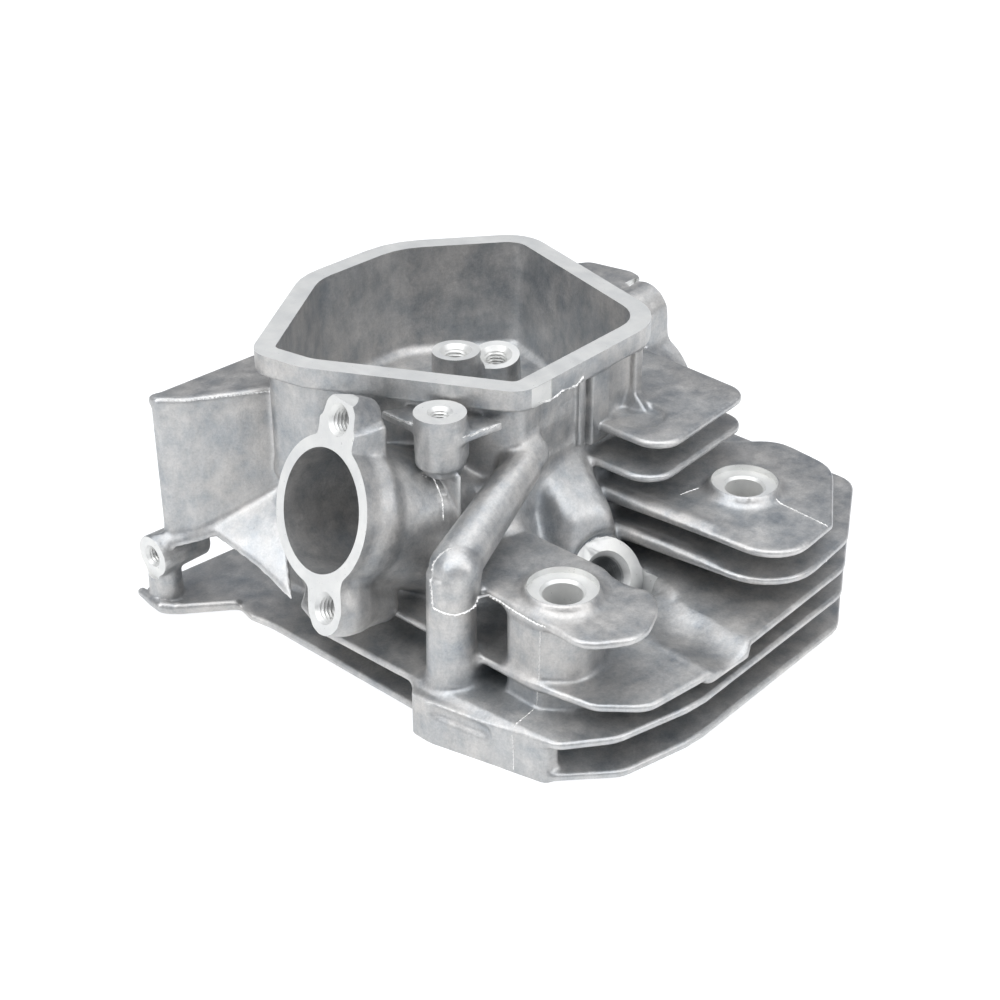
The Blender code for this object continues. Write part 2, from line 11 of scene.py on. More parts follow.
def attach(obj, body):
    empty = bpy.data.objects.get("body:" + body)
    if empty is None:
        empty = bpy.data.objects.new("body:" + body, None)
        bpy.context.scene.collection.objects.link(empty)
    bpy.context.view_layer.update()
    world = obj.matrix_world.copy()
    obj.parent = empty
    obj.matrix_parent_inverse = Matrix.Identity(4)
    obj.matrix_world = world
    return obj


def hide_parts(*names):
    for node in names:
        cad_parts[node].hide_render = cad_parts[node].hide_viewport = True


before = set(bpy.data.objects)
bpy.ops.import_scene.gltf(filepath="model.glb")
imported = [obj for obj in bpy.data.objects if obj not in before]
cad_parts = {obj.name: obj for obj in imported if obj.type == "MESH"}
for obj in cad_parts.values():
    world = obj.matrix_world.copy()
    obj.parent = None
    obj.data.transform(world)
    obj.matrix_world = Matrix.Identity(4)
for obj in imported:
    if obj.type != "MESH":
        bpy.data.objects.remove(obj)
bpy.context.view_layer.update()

# The head is worked out in millimetres about its cylinder axis, with z = 0 on the gasket face.
MM = 0.001
AXIS = Vector((-0.4, -13.1, 0.0))      # the cylinder axis, seen from the frame's origin
STEP = 0.55     # spacing of the distance grid
FAR = 50.0                             # distance in cells that no shape has reached
CASTING_TRIANGLES = 150000
ARC_STEP = math.radians(12)            # how finely rounded corners are drawn
UP = Vector((0.0, 0.0, 1.0))

COVER_FACE_Z = 90.0
LIP_HEIGHT = 7.0
BOX_FLOOR_Z = 52.0
BOLT_FACE_Z = 46.0
FIN_THICKNESS = 2.5
FIN_EDGE = 1.1
FIN_ROOT = 2.6
BASE_Z, SECOND_Z, THIRD_Z, FOURTH_Z, FIFTH_Z, SIXTH_Z, SEVENTH_Z = 0.6, 12.8, 22.2, 32.5, 42.7, 52.9, 63.0

BOLT_RADIUS = 5.8
BOLT_FACE_RADIUS = 10.2
FRONT_BOLTS = [(-41.3, -41.3), (41.3, -41.3)]
REAR_BOLTS = [(-34.0, 47.5), (34.0, 47.5)]
CHAMBER_RADIUS = 38.0
CHAMBER_DEPTH = 18.0

# Outlines in plan: corners (x, y, rounding radius)
RIM = [(-60, 68, 9), (-12, 100.5, 24), (28, 101.5, 30), (66, 73, 14), (45, -5, 20), (-23.5, -9.5, 9),
       (-56.5, 49, 20)]
LIP_OVERHANG = 4.0
WALL_THICKNESS = 3.3
BASE_PLATE = [(-86, 102.5, 8), (-87.5, 88, 6), (-83.5, 83.5, 3), (-68.5, 72, 3), (-70, 65, 2), (-68.5, 56, 8),
              (-66, -45, 6), (-63, -58, 4), (-48, -71, 10), (-22, -76, 30), (54, -72, 12), (87, -51, 9),
              (88, 34, 10), (62, 84, 18), (20, 97, 20)]
SECOND_FIN = [(-66, 44, 3), (-71, 28, 8), (-69, -14, 30), (-64, -60, 6), (-50, -70, 12), (-22, -76, 30),
              (54, -72, 12), (87, -51, 9), (88, 26, 10), (58, 66, 16), (-40, 66, 4)]
THIRD_FIN = [(-58.5, 10, 3), (-57.5, -42, 20), (-53, -64, 8), (-43, -75, 9), (-20, -77, 20), (54, -72, 12),
             (86, -52, 9), (86, 20, 10), (50, 60, 16), (-40, 50, 4)]
FOURTH_FIN = [(11, 10, 1), (11, -30, 60), (14.5, -77, 22), (54, -72, 12), (85, -53, 9), (84, 10, 8),
              (40, 40, 4)]
FIFTH_FIN = [(12, 10, 1), (11, -20, 60), (15, -76, 21), (43, -73, 2), (72, -53, 14), (74.5, -30, 12),
             (58, -14, 6), (50, 20, 4)]
SIXTH_FIN = [(9, 10, 1), (10, -31, 10), (62, -26, 8), (64, 18, 3), (40, 24, 1)]
SEVENTH_FIN = [(12.5, 10, 1), (14, -31, 9), (62, -26, 8), (64, 20, 3), (40, 24, 1)]
BOLT_TAB = [(-54, -4, 3), (-56, -62, 9), (-42, -72, 12), (-22, -62, 15), (-23, -4, 3)]
CORNER_BLOCK = [(-50, -8, 2), (-69, -9, 3), (-73.5, -13, 3), (-73.5, -20, 8), (-64, -56, 2), (-59.5, -57, 1),
                (-50, -46, 2)]
ROD_TUNNEL = [(-48, 48, 8), (-50, 73, 8), (-18, 88, 14), (24, 90, 12), (50, 70, 10), (46, 44, 8)]
EXHAUST_EAR = [(50, 33, 1), (71, 34.5, 3), (83, 36.5, 3), (84.5, 42, 4), (81, 58, 5), (56, 72, 3)]

# A port: its flange with studs (sideways, upwards), then its valve seat and the stem that rises from it
Port = namedtuple("Port", "name face normal bore ring studs foot stem throat seat_outer seat_inner")
INTAKE = Port(
    name="intake",
    face=Vector((-72.4, 24.2, 58.6)),
    normal=Vector((-0.9415, 0.1306, 0.3107)).normalized(),
    bore=17.8,
    ring=22.2,
    studs=[(-1.3, 27.3), (12.0, -25.2)],
    foot=Vector((-19.0, 6.0, 10.5)),
    stem=Vector((-0.07, 0.20, 1.0)).normalized(),
    throat=14.0,
    seat_outer=18.0,
    seat_inner=15.0)
EXHAUST = Port(
    name="exhaust",
    face=Vector((79.0, 27.0, 49.0)),
    normal=Vector((0.9903, 0.0, 0.1392)).normalized(),
    bore=14.5,
    ring=17.5,
    studs=[(0.0, 26.0), (0.0, -26.0)],
    foot=Vector((19.5, 6.0, 10.5)),
    stem=Vector((0.10, 0.20, 1.0)).normalized(),
    throat=11.8,
    seat_outer=16.0,
    seat_inner=12.8)
PORTS = (INTAKE, EXHAUST)
FLANGE_DEPTH = 11.0
LOBE_RADIUS = 8.0
SEAT_GAP = 0.3
GUIDE_BORE = 5.8
SPRING_POCKET_RADIUS = 8.6
SPRING_POCKET_FLOOR = 44.5             # along the valve stem

PLUG_FACE = Vector((-2.5, -25.0, 26.0))
PLUG_AXIS = Vector((-0.20, -0.82, 0.54)).normalized()
PLUG_FACE_RADIUS = 11.4

DRAIN = Vector((-61.0, -17.0, 51.0))
COVER_BOSS = Vector((-42.0, 5.9, 85.5))
LUG = Vector((-85.0, 92.8, 19.5))
LUG_AXIS = Vector((1.0, 0.0, 0.0))
BOSS_CUT_RADIUS = 8.0
ROCKER_BOSSES = [((4, 46, 48), (4, 46, 78), (4, 46, 76)),      # foot, top as cast, top as milled
                 ((20.5, 43, 48), (16.2, 40.3, 74), (16.5, 40.5, 72))]

# Threads: radius and pitch
M6 = (3.0, 1.0)
M8 = (4.0, 1.25)
M14 = (7.0, 1.25)


# ---------------------------------------------------------------- outlines and directions

def rounded(corners):
    """Points of a closed outline whose corners (x, y, radius) are rounded by arcs."""
    points = []
    count = len(corners)
    for index, (x, y, radius) in enumerate(corners):
        here = Vector((x, y))
        before = Vector(corners[index - 1][:2]) - here
        after = Vector(corners[(index + 1) % count][:2]) - here
        half = before.angle(after) / 2
        cut = min(radius / math.tan(half), before.length * 0.49, after.length * 0.49)
        radius = cut * math.tan(half)
        middle = here + (before.normalized() + after.normalized()).normalized() * (radius / math.sin(half))
        arm = here + before.normalized() * cut - middle
        sweep = math.pi - 2 * half
        steps = max(1, round(sweep / ARC_STEP))
        turn = 1 if before.cross(after) < 0 else -1
        for number in range(steps + 1):
            angle = turn * sweep * number / steps
            c, s = math.cos(angle), math.sin(angle)
            points.append((middle.x + arm.x * c - arm.y * s, middle.y + arm.x * s + arm.y * c))
    return points


def inset(corners, distance):
    """The same outline with every side moved inwards by distance."""
    area = sum(corners[i - 1][0] * c[1] - c[0] * corners[i - 1][1] for i, c in enumerate(corners))
    side = 1 if area > 0 else -1
    moved = []
    for index, (x, y, radius) in enumerate(corners):
        here = Vector((x, y))
        before = (here - Vector(corners[index - 1][:2])).normalized()
        after = (Vector(corners[(index + 1) % len(corners)][:2]) - here).normalized()
        normal_before = Vector((-before.y, before.x)) * side
        normal_after = Vector((-after.y, after.x)) * side
        bisector = (normal_before + normal_after).normalized()
        point = here + bisector * (distance / bisector.dot(normal_before))
        moved.append((point.x, point.y, max(radius - distance, 1.0)))
    return moved


def axes_along(direction):
    """Three unit vectors, the last one along direction."""
    direction = Vector(direction).normalized()
    side = UP if abs(direction.z) < 0.9 else Vector((1, 0, 0))
    first = (side - direction * direction.dot(side)).normalized()
    return first, direction.cross(first), direction


def face_axes(normal):
    """Side, up and normal of a port face."""
    up = (UP - normal * normal.z).normalized()
    return up.cross(normal), up, normal


def stud_places(port):
    side, up, _ = face_axes(port.normal)
    return [port.face + side * across + up * height for across, height in port.studs]


# ---------------------------------------------------------------- signed distance shapes
# A shape is (low corner, high corner, distance function of x, y, z).

def polygon_distance(points, x, y):
    """Signed distance in the plane to a closed outline, negative inside."""
    best = None
    inside = None
    previous = points[-1]
    for point in points:
        ax, ay = previous
        bx, by = point
        dx, dy = bx - ax, by - ay
        length = dx * dx + dy * dy
        if length > 1e-12:
            t = np.clip(((x - ax) * dx + (y - ay) * dy) / length, 0.0, 1.0)
            gap = (x - ax - dx * t) ** 2 + (y - ay - dy * t) ** 2
            best = gap if best is None else np.minimum(best, gap)
            crossing = ((ay > y) != (by > y)) & (x < (bx - ax) * (y - ay) / ((by - ay) or 1e-9) + ax)
            inside = crossing if inside is None else inside ^ crossing
        previous = point
    best = np.sqrt(best)
    return np.where(inside, -best, best).astype(np.float32)


def extruded(flat, height, low, high, edge):
    """Distance to a flat shape extruded from low to high, with edges rounded by edge."""
    along = np.abs(height - (low + high) / 2) - (high - low) / 2 + edge
    across = flat + edge
    outside = np.sqrt(np.maximum(across, 0) ** 2 + np.maximum(along, 0) ** 2)
    return np.minimum(np.maximum(across, along), 0) + outside - edge


def slab(corners, low, high, edge=0.5, draft=0.0):
    """A flat rounded outline between two heights. Draft widens it towards its low end."""
    points = rounded(corners)
    reach = abs(draft) * (high - low) + 1
    xs, ys = [p[0] for p in points], [p[1] for p in points]

    def distance(x, y, z):
        flat = polygon_distance(points, x, y) + draft * (z - low)
        return extruded(flat, z, low, high, edge)
    return (min(xs) - reach, min(ys) - reach, low), (max(xs) + reach, max(ys) + reach, high), distance


def local(x, y, z, origin, axes):
    """Coordinates along three axes about an origin."""
    dx, dy, dz = x - origin[0], y - origin[1], z - origin[2]
    return [dx * axis[0] + dy * axis[1] + dz * axis[2] for axis in axes]


def tilted_slab(corners, origin, axes, low, high, edge=0.5, draft=0.0):
    """A rounded outline drawn in tilted axes, between two heights along the third one."""
    points = rounded(corners)
    reach = max(math.hypot(*p) for p in points) + max(abs(low), abs(high))

    def distance(x, y, z):
        u, v, w = local(x, y, z, origin, axes)
        return extruded(polygon_distance(points, u, v) + draft * (high - w), w, low, high, edge)
    low_corner = tuple(c - reach for c in origin)
    return low_corner, tuple(c + reach for c in origin), distance


def rod(start, end, radius, end_radius=None, edge=0.6):
    """A cylinder or cone between two points with rounded ends."""
    start, end = Vector(start), Vector(end)
    end_radius = radius if end_radius is None else end_radius
    length = (end - start).length
    axis = (end - start) / length
    slope = (end_radius - radius) / length
    reach = max(radius, end_radius)

    def distance(x, y, z):
        dx, dy, dz = x - start[0], y - start[1], z - start[2]
        t = dx * axis[0] + dy * axis[1] + dz * axis[2]
        across = np.sqrt(np.maximum(dx * dx + dy * dy + dz * dz - t * t, 0))
        flat = (across - radius - slope * t) / math.hypot(1, slope)
        return extruded(flat, t, 0.0, length, edge)
    low = tuple(min(a, b) - reach for a, b in zip(start, end))
    return low, tuple(max(a, b) + reach for a, b in zip(start, end)), distance


def capsule(start, end, radius, end_radius=None):
    """A rod with round ends."""
    start, end = Vector(start), Vector(end)
    end_radius = radius if end_radius is None else end_radius
    line = end - start
    reach = max(radius, end_radius)

    def distance(x, y, z):
        dx, dy, dz = x - start[0], y - start[1], z - start[2]
        t = np.clip((dx * line[0] + dy * line[1] + dz * line[2]) / line.length_squared, 0, 1)
        gap = (dx - line[0] * t) ** 2 + (dy - line[1] * t) ** 2 + (dz - line[2] * t) ** 2
        return np.sqrt(gap) - radius - (end_radius - radius) * t
    low = tuple(min(a, b) - reach for a, b in zip(start, end))
    return low, tuple(max(a, b) + reach for a, b in zip(start, end)), distance


def ball(centre, radius):
    def distance(x, y, z):
        return np.sqrt((x - centre[0]) ** 2 + (y - centre[1]) ** 2 + (z - centre[2]) ** 2) - radius
    return tuple(c - radius for c in centre), tuple(c + radius for c in centre), distance


def facets(planes, low, high, edge=2.0):
    """A convex body between planes (normal, point on it), its edges rounded."""
    def distance(x, y, z):
        result = None
        for normal, point in planes:
            n = Vector(normal).normalized()
            gap = (x - point[0]) * n[0] + (y - point[1]) * n[1] + (z - point[2]) * n[2]
            result = gap if result is None else smooth_max(result, gap, edge)
        return result
    return low, high, distance


def shelf(rows, thickness):
    """A ruled sheet through rows of points (x, y, z), as a slab of the given thickness."""
    grid = np.array(rows, float)
    outline = list(map(tuple, grid[0, :, :2])) + [tuple(r[-1, :2]) for r in grid[1:-1]]
    outline += list(map(tuple, grid[-1, ::-1, :2])) + [tuple(r[0, :2]) for r in grid[-2:0:-1]]
    flat = grid.reshape(-1, 3)
    terms = np.column_stack([np.ones(len(flat)), flat[:, 0], flat[:, 1], flat[:, 0] ** 2,
                             flat[:, 0] * flat[:, 1], flat[:, 1] ** 2])
    c = np.linalg.lstsq(terms, flat[:, 2], rcond=None)[0]
    low, high = flat.min(0) - thickness * 2, flat.max(0) + thickness * 2

    def distance(x, y, z):
        top = c[0] + c[1] * x + c[2] * y + c[3] * x * x + c[4] * x * y + c[5] * y * y
        side = polygon_distance(outline, x, y)
        return extruded(side, z - top, -thickness, 0.0, thickness * 0.42)
    return tuple(low), tuple(high), distance


def smooth_min(a, b, blend):
    """The lesser of two distances, with a fillet of about blend where they meet."""
    near = np.maximum(blend - np.abs(a - b), 0) / blend
    return np.minimum(a, b) - near * near * (blend / 4)


def smooth_max(a, b, blend):
    return -smooth_min(-a, -b, blend)


class Field:
    """Signed distance to a growing solid on a regular grid."""

    def __init__(self, low, high, step):
        self.low, self.step = np.array(low, float), step
        self.shape = tuple(int(math.ceil((b - a) / step)) + 1 for a, b in zip(low, high))
        self.values = np.full(self.shape, FAR, np.float32)

    def window(self, low, high, reach):
        """The part of the grid round a box, and its x, y and z."""
        start = np.floor((np.array(low) - reach - self.low) / self.step).astype(int)
        stop = np.ceil((np.array(high) + reach - self.low) / self.step).astype(int) + 1
        start, stop = np.clip(start, 0, self.shape), np.clip(stop, 0, self.shape)
        x, y, z = [(origin + self.step * np.arange(first, last)).astype(np.float32)
                   for origin, first, last in zip(self.low, start, stop)]
        part = tuple(slice(a, b) for a, b in zip(start, stop))
        return part, x[:, None, None], y[None, :, None], z[None, None, :]

    def add(self, shape, blend=2.0):
        low, high, distance = shape
        part, x, y, z = self.window(low, high, blend + 2 * self.step)
        self.values[part] = smooth_min(self.values[part], distance(x, y, z), blend)

    def cut(self, shape, blend=0.6):
        low, high, distance = shape
        part, x, y, z = self.window(low, high, blend + 2 * self.step)
        self.values[part] = smooth_max(self.values[part], -distance(x, y, z), blend)


def surface(field):
    """Vertices and quads of the zero surface, one vertex in each cell that the surface crosses."""
    v = field.values
    inside = v < 0
    nx, ny, nz = (n - 1 for n in v.shape)
    corners = [(i, j, k) for i in (0, 1) for j in (0, 1) for k in (0, 1)]
    total = np.zeros((nx, ny, nz), np.uint8)
    for i, j, k in corners:
        total += inside[i:i + nx, j:j + ny, k:k + nz]
    cells = np.flatnonzero(((total > 0) & (total < 8)).ravel())
    cx, cy, cz = np.unravel_index(cells, (nx, ny, nz))
    values = {c: v[cx + c[0], cy + c[1], cz + c[2]] for c in corners}
    points = np.zeros((len(cells), 3))
    hits = np.zeros(len(cells))
    for a in corners:
        for axis in range(3):
            if a[axis] == 0:
                b = tuple(1 if n == axis else a[n] for n in range(3))
                va, vb = values[a], values[b]
                crossed = (va < 0) != (vb < 0)
                t = np.where(crossed, va / np.where(va == vb, 1, va - vb), 0)
                for n in range(3):
                    points[:, n] += crossed * (a[n] + (t if n == axis else 0))
                hits += crossed
    points = points / hits[:, None] + np.column_stack([cx, cy, cz])
    number = np.full((nx, ny, nz), -1, np.int32)
    number.ravel()[cells] = np.arange(len(cells), dtype=np.int32)
    quads = []
    for axis in range(3):
        u, w = [n for n in range(3) if n != axis]
        near = [slice(0, n) for n in v.shape]
        far = [slice(0, n) for n in v.shape]
        near[axis] = slice(0, v.shape[axis] - 1)
        far[axis] = slice(1, v.shape[axis])
        for n in (u, w):
            near[n] = far[n] = slice(1, v.shape[n] - 1)
        a, b = inside[tuple(near)], inside[tuple(far)]
        place = np.argwhere(a != b)
        down = a[tuple(place.T)]
        place[:, u] += 1
        place[:, w] += 1
        ring = []
        for du, dw in ((-1, -1), (0, -1), (0, 0), (-1, 0)):
            cell = place.copy()
            cell[:, u] += du
            cell[:, w] += dw
            ring.append(number[tuple(cell.T)])
        quad = np.column_stack(ring)
        flip = down if axis != 1 else ~down
        quad[~flip] = quad[~flip][:, ::-1]
        quads.append(quad)
    return points * field.step + field.low, np.concatenate(quads)


def new_object(name, mesh):
    item = bpy.data.objects.new(name, mesh)
    bpy.context.scene.collection.objects.link(item)
    return item


def in_place(points):
    """Millimetres about the cylinder axis turned into metres in the frame."""
    return (np.asarray(points, float) + np.array(AXIS)) * MM


def mesh_from(name, points, faces):
    mesh = bpy.data.meshes.new(name)
    faces = np.asarray(faces)
    mesh.vertices.add(len(points))
    mesh.vertices.foreach_set("co", in_place(points).astype(np.float32).ravel())
    mesh.loops.add(faces.size)
    mesh.loops.foreach_set("vertex_index", faces.astype(np.int32).ravel())
    mesh.polygons.add(len(faces))
    mesh.polygons.foreach_set("loop_start", np.arange(0, faces.size, faces.shape[1], dtype=np.int32))
    mesh.update(calc_edges=True)
    mesh.validate()
    return mesh


def built_mesh(name, work, look):
    """What was built in a bmesh, as a mesh with one material."""
    mesh = bpy.data.meshes.new(name)
    work.to_mesh(mesh)
    work.free()
    mesh.materials.append(look)
    return mesh


def turned_point(origin, axes, angle, radius, height):
    """A point round the last of three axes, in place in the frame."""
    first, second, third = axes
    out = first * math.cos(angle) + second * math.sin(angle)
    return (Vector(origin) + third * height + out * radius + AXIS) * MM


def evaluated_mesh(item):
    graph = bpy.context.evaluated_depsgraph_get()
    return bpy.data.meshes.new_from_object(item.evaluated_get(graph))


# ---------------------------------------------------------------- the casting's shape

def lobe_outline(port):
    """Flange outline: a ring with a lobe over each stud."""
    points = []
    steps = 72
    for number in range(steps):
        angle = 2 * math.pi * number / steps
        reach = port.ring
        for stud in port.studs:
            length = math.hypot(*stud)
            turn = angle - math.atan2(stud[1], stud[0])
            if math.cos(turn) <= 0:
                continue
            if LOBE_RADIUS * math.cos(turn) < length * abs(math.sin(turn)):
                reach = max(reach, LOBE_RADIUS / abs(math.sin(turn)))
            else:
                rest = max(LOBE_RADIUS ** 2 - (length * math.sin(turn)) ** 2, 0.0)
                reach = max(reach, length * math.cos(turn) + math.sqrt(rest))
        points.append((reach * math.cos(angle), reach * math.sin(angle), 2.5))
    return points


def build_core(field):
    """The solid middle over the chamber, under the rocker box and round the push rods."""
    field.add(rod((0, 0, -2), (0, 0, 25), 50.0, 46.0, 2), 4)
    field.add(rod((2, 14, 15), (2, 20, 51), 34.0, 26.0, 3), 4)
    field.add(slab(ROD_TUNNEL, -2, BOX_FLOOR_Z - 1, 1.5), 4)
    field.add(rod((-24, 4, 20), (-24, 10, 51), 22.0, 15.0, 4), 5)
    hump = [((-0.25, -0.93, 0.27), (-4, -20, 40)), ((-0.95, -0.1, 0.3), (-14, -10, 40)),
            ((0.9, -0.4, 0.2), (9, -12, 40)), ((-0.1, -0.5, 0.86), (-3, -10, 52)),
            ((0, 1, 0), (0, 10, 40)), ((0, 0, -1), (0, 0, 22))]
    field.add(facets(hump, (-18, -28, 22), (14, 10, 54), 3.5), 4)


def build_plug_seat(field):
    """The plug's way in is cleared first, then its seat stands in it on a boss of its own."""
    out = PLUG_FACE + PLUG_AXIS * 3
    field.cut(capsule(out + Vector((0, 0, 1)), out + PLUG_AXIS * 26, 12.6, 16.0), 2.5)
    trough_floor = [(-19, -38, 5), (-20, -77.3, 3), (1, -77, 3), (5, -38, 5)]
    field.add(slab(trough_floor, THIRD_Z - 2.0, THIRD_Z + 1.8, 1.0), 2)
    trough = [(-4, -36, 37.2), (-7, -58, 36.8), (-9, -90, 36.4)]
    for start, end in zip(trough, trough[1:]):
        field.cut(capsule(start, end, 14.4), 2.0)
    field.add(rod(PLUG_FACE - PLUG_AXIS * 20, PLUG_FACE + PLUG_AXIS * 1.2, 16.5, 11.7, 0.8), 1.5)


def build_fins(field):
    """The fins, and a thick root along the plug side of the fourth and fifth."""
    fins = [(BASE_PLATE, BASE_Z), (SECOND_FIN, SECOND_Z), (THIRD_FIN, THIRD_Z), (FOURTH_FIN, FOURTH_Z),
            (FIFTH_FIN, FIFTH_Z), (SIXTH_FIN, SIXTH_Z), (SEVENTH_FIN, SEVENTH_Z), (BOLT_TAB, FIFTH_Z)]
    for outline, low in fins:
        field.add(slab(outline, low, low + FIN_THICKNESS, FIN_EDGE), FIN_ROOT)
    for (x, end_x, end_y), low in (((9, 16, -52), FOURTH_Z), ((12, 17, -48), FIFTH_Z)):
        field.add(capsule((x, -4, low + 1.2), (end_x, end_y, low + 1.2), 2.7, 1.3), 3)


def build_box(field):
    """The rocker box as a solid block with its lip, and the relief of its plug side."""
    field.add(slab(inset(RIM, LIP_OVERHANG), BOX_FLOOR_Z - 5, COVER_FACE_Z - 2, 1.5), 3)
    field.add(slab(RIM, COVER_FACE_Z - LIP_HEIGHT, COVER_FACE_Z + 3, 1.0), 2.0)
    shallow_panel = [(-12, -14, 2), (8, -14, 2), (8, -3.4, 1), (-12, -4.6, 1)]
    field.cut(slab(shallow_panel, 62, 82, 1.0, 0.02), 1.0)
    narrow_rib = [(5.4, -5.2, 0.5), (8.4, -5.0, 0.5), (8.4, 1, 0.5), (5.4, 1, 0.5)]
    field.add(slab(narrow_rib, 60, 84, 0.6), 0.8)
    broad_rib = [(9.5, -6.4, 0.8), (18.5, -5.8, 0.8), (18.5, 1, 0.5), (9.5, 1, 0.5)]
    field.add(slab(broad_rib, 59, 84, 0.8), 0.8)
    field.cut(rod((26, -10.5, 64), (26, -10.5, 82), 8.6, 8.6, 1.0), 1.0)
    end_rib = [(31.5, -4.5, 1), (36, -4.0, 1), (36, 3, 1), (31.5, 3, 1)]
    field.add(slab(end_rib, 62, 84, 0.8), 1.5)
    rib_foot = [((0.3, -0.6, 0.74), (33, -4.5, 68)), ((0.9, -0.2, 0.4), (36.5, -3, 67)),
                ((-0.9, -0.2, 0.4), (30.5, -3, 67)), ((0, 1, 0), (33, 1, 66)), ((0, 0, -1), (33, 0, 64))]
    field.add(facets(rib_foot, (28, -9, 63), (40, 2, 73), 0.8), 0.8)


def build_columns(field):
    """Both front bolt columns, the drain column with its dome and tube, and the corner block."""
    for x, y in FRONT_BOLTS:
        field.add(rod((x, y, -1), (x, y, FIFTH_Z + 1), 12.6, 12.0, 1), 3.5)
        field.add(rod((x, y, FIFTH_Z), (x, y, BOLT_FACE_Z + 2), 12.0, 10.8, 0.6), 1.2)
    x, y = FRONT_BOLTS[0]
    flat_sides = [(x - 14, y - 4, 3), (x - 5, y - 14, 6), (x + 12, y - 4, 5), (x + 4, y + 14, 5),
                  (x - 14, y + 9, 3)]
    field.add(slab(flat_sides, 3, FIFTH_Z + 1, 1), 3)
    field.add(rod((DRAIN.x, DRAIN.y, 1), DRAIN, 7.7, 6.9, 1), 3)
    field.add(capsule(DRAIN + Vector((0.5, -0.5, -8)), DRAIN + Vector((1.3, -1.3, 0.4)), 7.0), 0.8)
    field.add(capsule(DRAIN + Vector((2.0, 0.4, 0.6)), (9, 2.5, 72.5), 7.2, 4.8), 0.9)
    drain_web = [(-62, -24, 2), (-30, -24, 2), (-30, -8, 2), (-62, -10, 2)]
    field.add(slab(drain_web, 12, 24, 1), 3)
    field.add(slab(CORNER_BLOCK, -2, SECOND_Z + 1.2, 0.8), 1.5)
    block_pocket = capsule((-74.9, -22.5, 11.6), (-70.9, -37.5, 10.6), 3.3)
    field.cut(block_pocket, 0.6)


def build_ports(field):
    """Both flanges, their runners and the bosses behind their studs."""
    for port, draft in zip(PORTS, (0.12, 0.0)):
        axes = face_axes(port.normal)
        field.add(tilted_slab(lobe_outline(port), port.face, axes, -FLANGE_DEPTH, 1.5, 0.8, draft), 3)
        if port is INTAKE:
            field.add(rod(port.face - port.normal * (FLANGE_DEPTH - 3), (-22, 13, 36), 20.6, 21.5, 3), 5)
            low_stud = stud_places(port)[1]
            field.add(capsule(low_stud - port.normal * 7, low_stud - port.normal * 20, 8.0, 5.5), 4)
            top_block = [(-67, 16, 2), (-55, 14, 1), (-50, 24, 1), (-50, 34, 1), (-64, 34, 4)]
            field.add(slab(top_block, 70, 83, 0.8), 1.5)
        else:
            field.add(rod(port.face - port.normal * (FLANGE_DEPTH - 2), (22, 14, 34), 17.0, 21.0, 3), 6)
            for place in stud_places(port):
                field.add(rod(place - port.normal * 24, place + port.normal * 1.5, 8.4, 7.2, 0.8), 3)


def build_brackets(field):
    """The air baffle with its roof, shelf and lug, the exhaust ear and the cover boss with its webs."""
    baffle = [(-47, 66.5, 1), (-74, 82.5, 3), (-80, 89, 1), (-80, 92.5, 1), (-77, 92.5, 1), (-77, 90.5, 1),
              (-72.5, 85.5, 3), (-46, 70, 1)]
    field.add(slab(baffle, 25, 73.5, 0.9), 2.0)
    roof = [(-46, 67.5, 1), (-74, 83, 2), (-80, 89.5, 1), (-80, 93, 1), (-38, 93, 4), (-30, 80, 2)]
    field.add(slab(roof, 71.4, 74, 0.9), 2.0)
    shelf_rows = [[(-47, 70, 43), (-61, 77.5, 36), (-73, 84, 30.5), (-84, 94, 26)],
                  [(-56, 62, 36), (-64, 70, 31), (-73, 80, 28.5), (-84.5, 92, 25.5)],
                  [(-67.5, 46, 17), (-68.5, 60, 23.5), (-71, 78, 27.5), (-85, 90, 25)]]
    field.add(shelf(shelf_rows, 2.6), 2.5)
    field.add(rod((-50, 52, 14), (-47, 62, 50), 7, 7, 2), 5)
    field.add(rod(LUG - LUG_AXIS * 0.6, LUG + LUG_AXIS * 18.5, 6.8, 6.4, 1.0), 1.2)
    field.add(rod((-80.5, 93.5, 1), (-80.5, 93.5, 19), 5.6, 5.0, 1), 1.5)
    upturned_rim = [(-85.5, 100), (-86.2, 89), (-82.6, 84.6), (-68.8, 73.2)]
    for start, end in zip(upturned_rim, upturned_rim[1:]):
        field.add(capsule((*start, 3.0), (*end, 3.0), 1.5), 1.0)
    field.add(slab(EXHAUST_EAR, 77.3, 79.8, 1.0), 2)
    top = COVER_BOSS
    field.add(rod((top.x, top.y, 69), (top.x, top.y, 87), 7.4, 7.7, 1.0), 0.6)
    flat_front = [(-47.5, 8, 1), (-47.5, 1, 1), (-43, -1.6, 1), (-36, 0, 1), (-35, 10, 2)]
    field.add(slab(flat_front, 71, 82.5, 0.8), 0.8)
    field.add(rod((top.x + 0.4, top.y - 0.6, 66.3), (top.x + 0.4, top.y - 0.6, 70), 5.6, 6.2, 1.0), 0.6)
    hanging_web = [(-42.4, -2, 0.4), (-41.4, -2, 0.4), (-41.4, 8, 0.4), (-42.4, 8, 0.4)]
    field.add(slab(hanging_web, 50, 68, 0.4), 0.6)
    side_webs = [(-46, 27, 1), (-46, 10, 1), (-42, -2, 1), (-26, -4, 1), (-30, 20, 1)]
    field.add(slab(side_webs, 77.4, 80, 0.6), 1.5)


def hollow_box(field):
    """The rocker box emptied, then its rocker bosses and spring seats."""
    inside = inset(RIM, LIP_OVERHANG + WALL_THICKNESS)
    field.cut(slab(inside, BOX_FLOOR_Z, COVER_FACE_Z + 8, 4.0, -0.02), 0.8)
    for foot, top, _ in ROCKER_BOSSES:
        field.add(rod(foot, top, 8.2, 7.5, 1), 4)
    for port in PORTS:
        field.add(rod(port.foot + port.stem * 36, port.foot + port.stem * 46, 16.5, 15.5, 1), 4)


